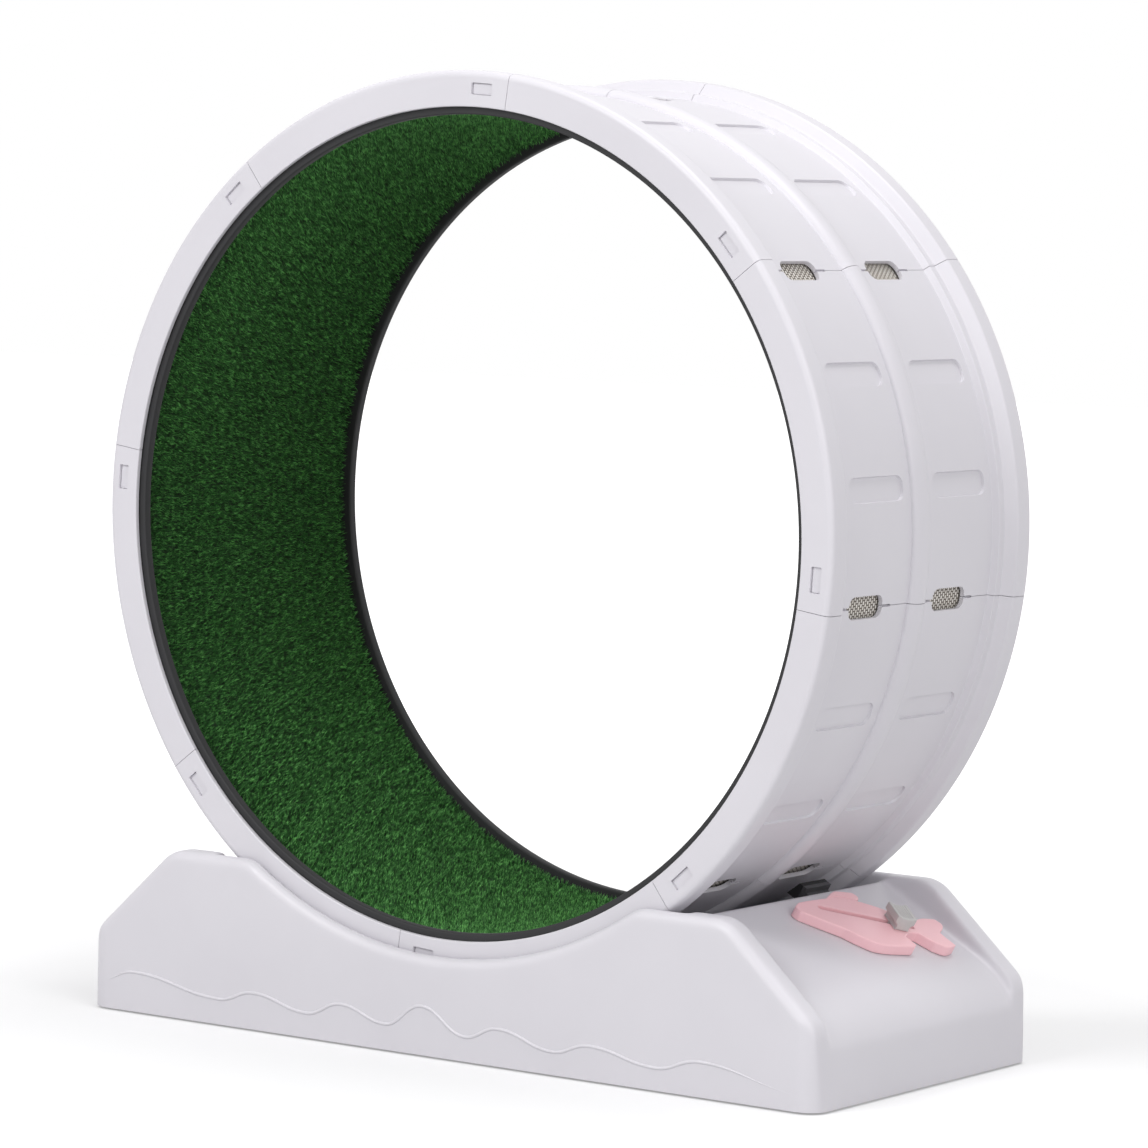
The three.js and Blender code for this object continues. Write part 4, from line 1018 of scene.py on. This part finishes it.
def makeKnob():
    k = knob
    half, wide, top = k["half"], k["halfWidth"], k["high"]
    reach = wide + k["cutPast"]
    made = block("ribbed_knob", (-half, -wide, k["low"]), (half, wide, top))
    dish = ((half - k["edge"]) ** 2 + k["dip"] ** 2) / (2 * k["dip"])
    rods = [rodCutter(dish, reach, 0, top - k["dip"] + dish)]
    for side in (-1, 1):
        rods.append(rodCutter(k["waistRadius"], reach,
                              side * (half + k["waistRadius"] - k["waist"]), k["waistHeight"]))
    melt(cut(made, rods), k["voxel"], k["smoothing"], k["keep"])
    lines = []
    for i in range(k["lines"]):
        x = (2 * (i + 1) / (k["lines"] + 1) - 1) * (half - k["edge"])
        z = top - k["dip"] + dish - math.sqrt(dish ** 2 - x ** 2)
        lines.append(rodCutter(k["lineRadius"], wide - k["lineEnd"], x,
                               z + k["lineRadius"] * k["lineLift"]))
    cut(made, lines)
    stemLength, stemWidth, stemFoot = k["stem"]
    stem = block("stem", (-stemLength, -stemWidth, stemFoot),
                 (stemLength, stemWidth, k["low"] + k["stemOverlap"]))
    cut(made, [stem], "UNION")
    cut(made, [rod("bore", *k["bore"], Matrix())])
    made.data.transform(lockFrame @ shift(k["rest"], 0, 0))
    finishPiece(shade(made, 45), "knob", looks["silverPlastic"], ["lock_knob"])


def dress(look, *names):  # the finish of nodes that stay as they are
    for name in names:
        for place in bpy.data.objects[name].material_slots:
            place.material = looks[look]


makeFish()
makeKnob()
dress("darkPlastic", "lock_carriage", "brake_arm", "lock_tray")
dress("blackRubber", "brake_pad")
dress("brushedSteel", "lock_pin")
print("wheel lock made")


studio = {"floorSize": 12, "floorColour": (0.6, 0.6, 0.605), "floorRough": 0.9,
          "liftReach": (0.6, 2.4), "lift": (0.3, 0.95), "world": 0.47,
          "worldColour": (1, 0.99, 1, 1), "seenColour": (1, 1, 1, 1), "aim": (0, 0, 0.4),
          "key": {"place": (-0.9, -4.2, 3.2), "size": 1.8, "power": 116},
          "fill": {"place": (3.6, -1.8, 2.0), "size": 2.4, "power": 46},
          "top": {"place": (0.8, 0.2, 6.0), "size": 2.5, "power": 150}}
camera = {"azimuth": 35.949, "elevation": 4.549, "roll": 1.175, "focalPixels": 4939.46,
          "framePixels": 1148, "place": (2635.9, -3611.6, 305.1), "sensor": 36, "farEnd": 50}


def seenRays(material):  # one for camera, glossy and transmission rays
    rays = node(material, "ShaderNodeLightPath")
    first = node(material, "ShaderNodeMath", operation="ADD")
    second = node(material, "ShaderNodeMath", operation="ADD", use_clamp=True)
    wire(material, rays, "Is Camera Ray", first, 0)
    wire(material, rays, "Is Glossy Ray", first, 1)
    wire(material, first, "Value", second, 0)
    wire(material, rays, "Is Transmission Ray", second, 1)
    return second


def makeFloor():  # pale, and lifted to white away from the object, so that its shadow stays
    s = studio
    bm = bmesh.new()
    bmesh.ops.create_grid(bm, x_segments=2, y_segments=2, size=s["floorSize"])
    floor = makeObject("floor", bm)
    made = newMaterial("paleFloor", s["floorColour"], s["floorRough"])
    place = node(made, "ShaderNodeTexCoord")
    away = node(made, "ShaderNodeVectorMath", operation="LENGTH")
    lift = node(made, "ShaderNodeMapRange")
    lift.inputs["From Min"].default_value, lift.inputs["From Max"].default_value = s["liftReach"]
    lift.inputs["To Min"].default_value, lift.inputs["To Max"].default_value = s["lift"]
    seen = seenRays(made)
    share = node(made, "ShaderNodeMath", operation="MULTIPLY")
    white = node(made, "ShaderNodeEmission")
    both = node(made, "ShaderNodeAddShader")
    wire(made, place, "Object", away, 0)
    wire(made, away, "Value", lift, "Value")
    wire(made, lift, "Result", share, 0)
    wire(made, seen, "Value", share, 1)
    wire(made, share, "Value", white, "Strength")
    wire(made, shaderOf(made), "BSDF", both, 0)
    wire(made, white, "Emission", both, 1)
    wire(made, both, "Shader", made.node_tree.nodes["Material Output"], "Surface")
    floor.data.materials.append(made)


def makeWorld():
    world = bpy.data.worlds.new("studio")
    bpy.context.scene.world = world
    world.use_nodes = True
    ambient = world.node_tree.nodes["Background"]
    ambient.inputs["Color"].default_value = studio["worldColour"]
    ambient.inputs["Strength"].default_value = studio["world"]
    seen = node(world, "ShaderNodeBackground")
    seen.inputs["Color"].default_value = studio["seenColour"]
    rays = seenRays(world)
    blend = node(world, "ShaderNodeMixShader")
    wire(world, rays, "Value", blend, 0)
    wire(world, ambient, "Background", blend, 1)
    wire(world, seen, "Background", blend, 2)
    wire(world, blend, "Shader", world.node_tree.nodes["World Output"], "Surface")


def makeLamp(name):
    lamp = studio[name]
    data = bpy.data.lights.new(name, "AREA")
    data.size = lamp["size"]
    data.energy = lamp["power"]
    made = bpy.data.objects.new(name, data)
    bpy.context.scene.collection.objects.link(made)
    made.location = lamp["place"]
    facing = Vector(studio["aim"]) - made.location
    made.rotation_euler = facing.to_track_quat("-Z", "Y").to_euler()


def makeCamera():
    c = camera
    turn, rise = math.radians(c["azimuth"]), math.radians(c["elevation"])
    back = Vector((math.sin(turn) * math.cos(rise), -math.cos(turn) * math.cos(rise),
                   math.sin(rise)))
    right = (-back).cross(Vector((0, 0, 1))).normalized()
    up = right.cross(-back)
    roll = math.radians(c["roll"])
    sideways = right * math.cos(roll) + up * math.sin(roll)
    upwards = up * math.cos(roll) - right * math.sin(roll)
    data = bpy.data.cameras.new("camera")
    data.sensor_width = c["sensor"]
    data.lens = c["focalPixels"] / c["framePixels"] * data.sensor_width
    data.clip_end = c["farEnd"]
    made = bpy.data.objects.new("camera", data)
    bpy.context.scene.collection.objects.link(made)
    basis = Matrix((sideways, upwards, back)).transposed().to_4x4()
    made.matrix_world = Matrix.Translation(wheelAxis + Vector(c["place"]) * mm) @ basis
    bpy.context.scene.camera = made


makeFloor()
makeWorld()
for lampName in ("key", "fill", "top"):
    makeLamp(lampName)
makeCamera()
bpy.context.scene.view_settings.view_transform = "Standard"
print("floor, light and camera made")
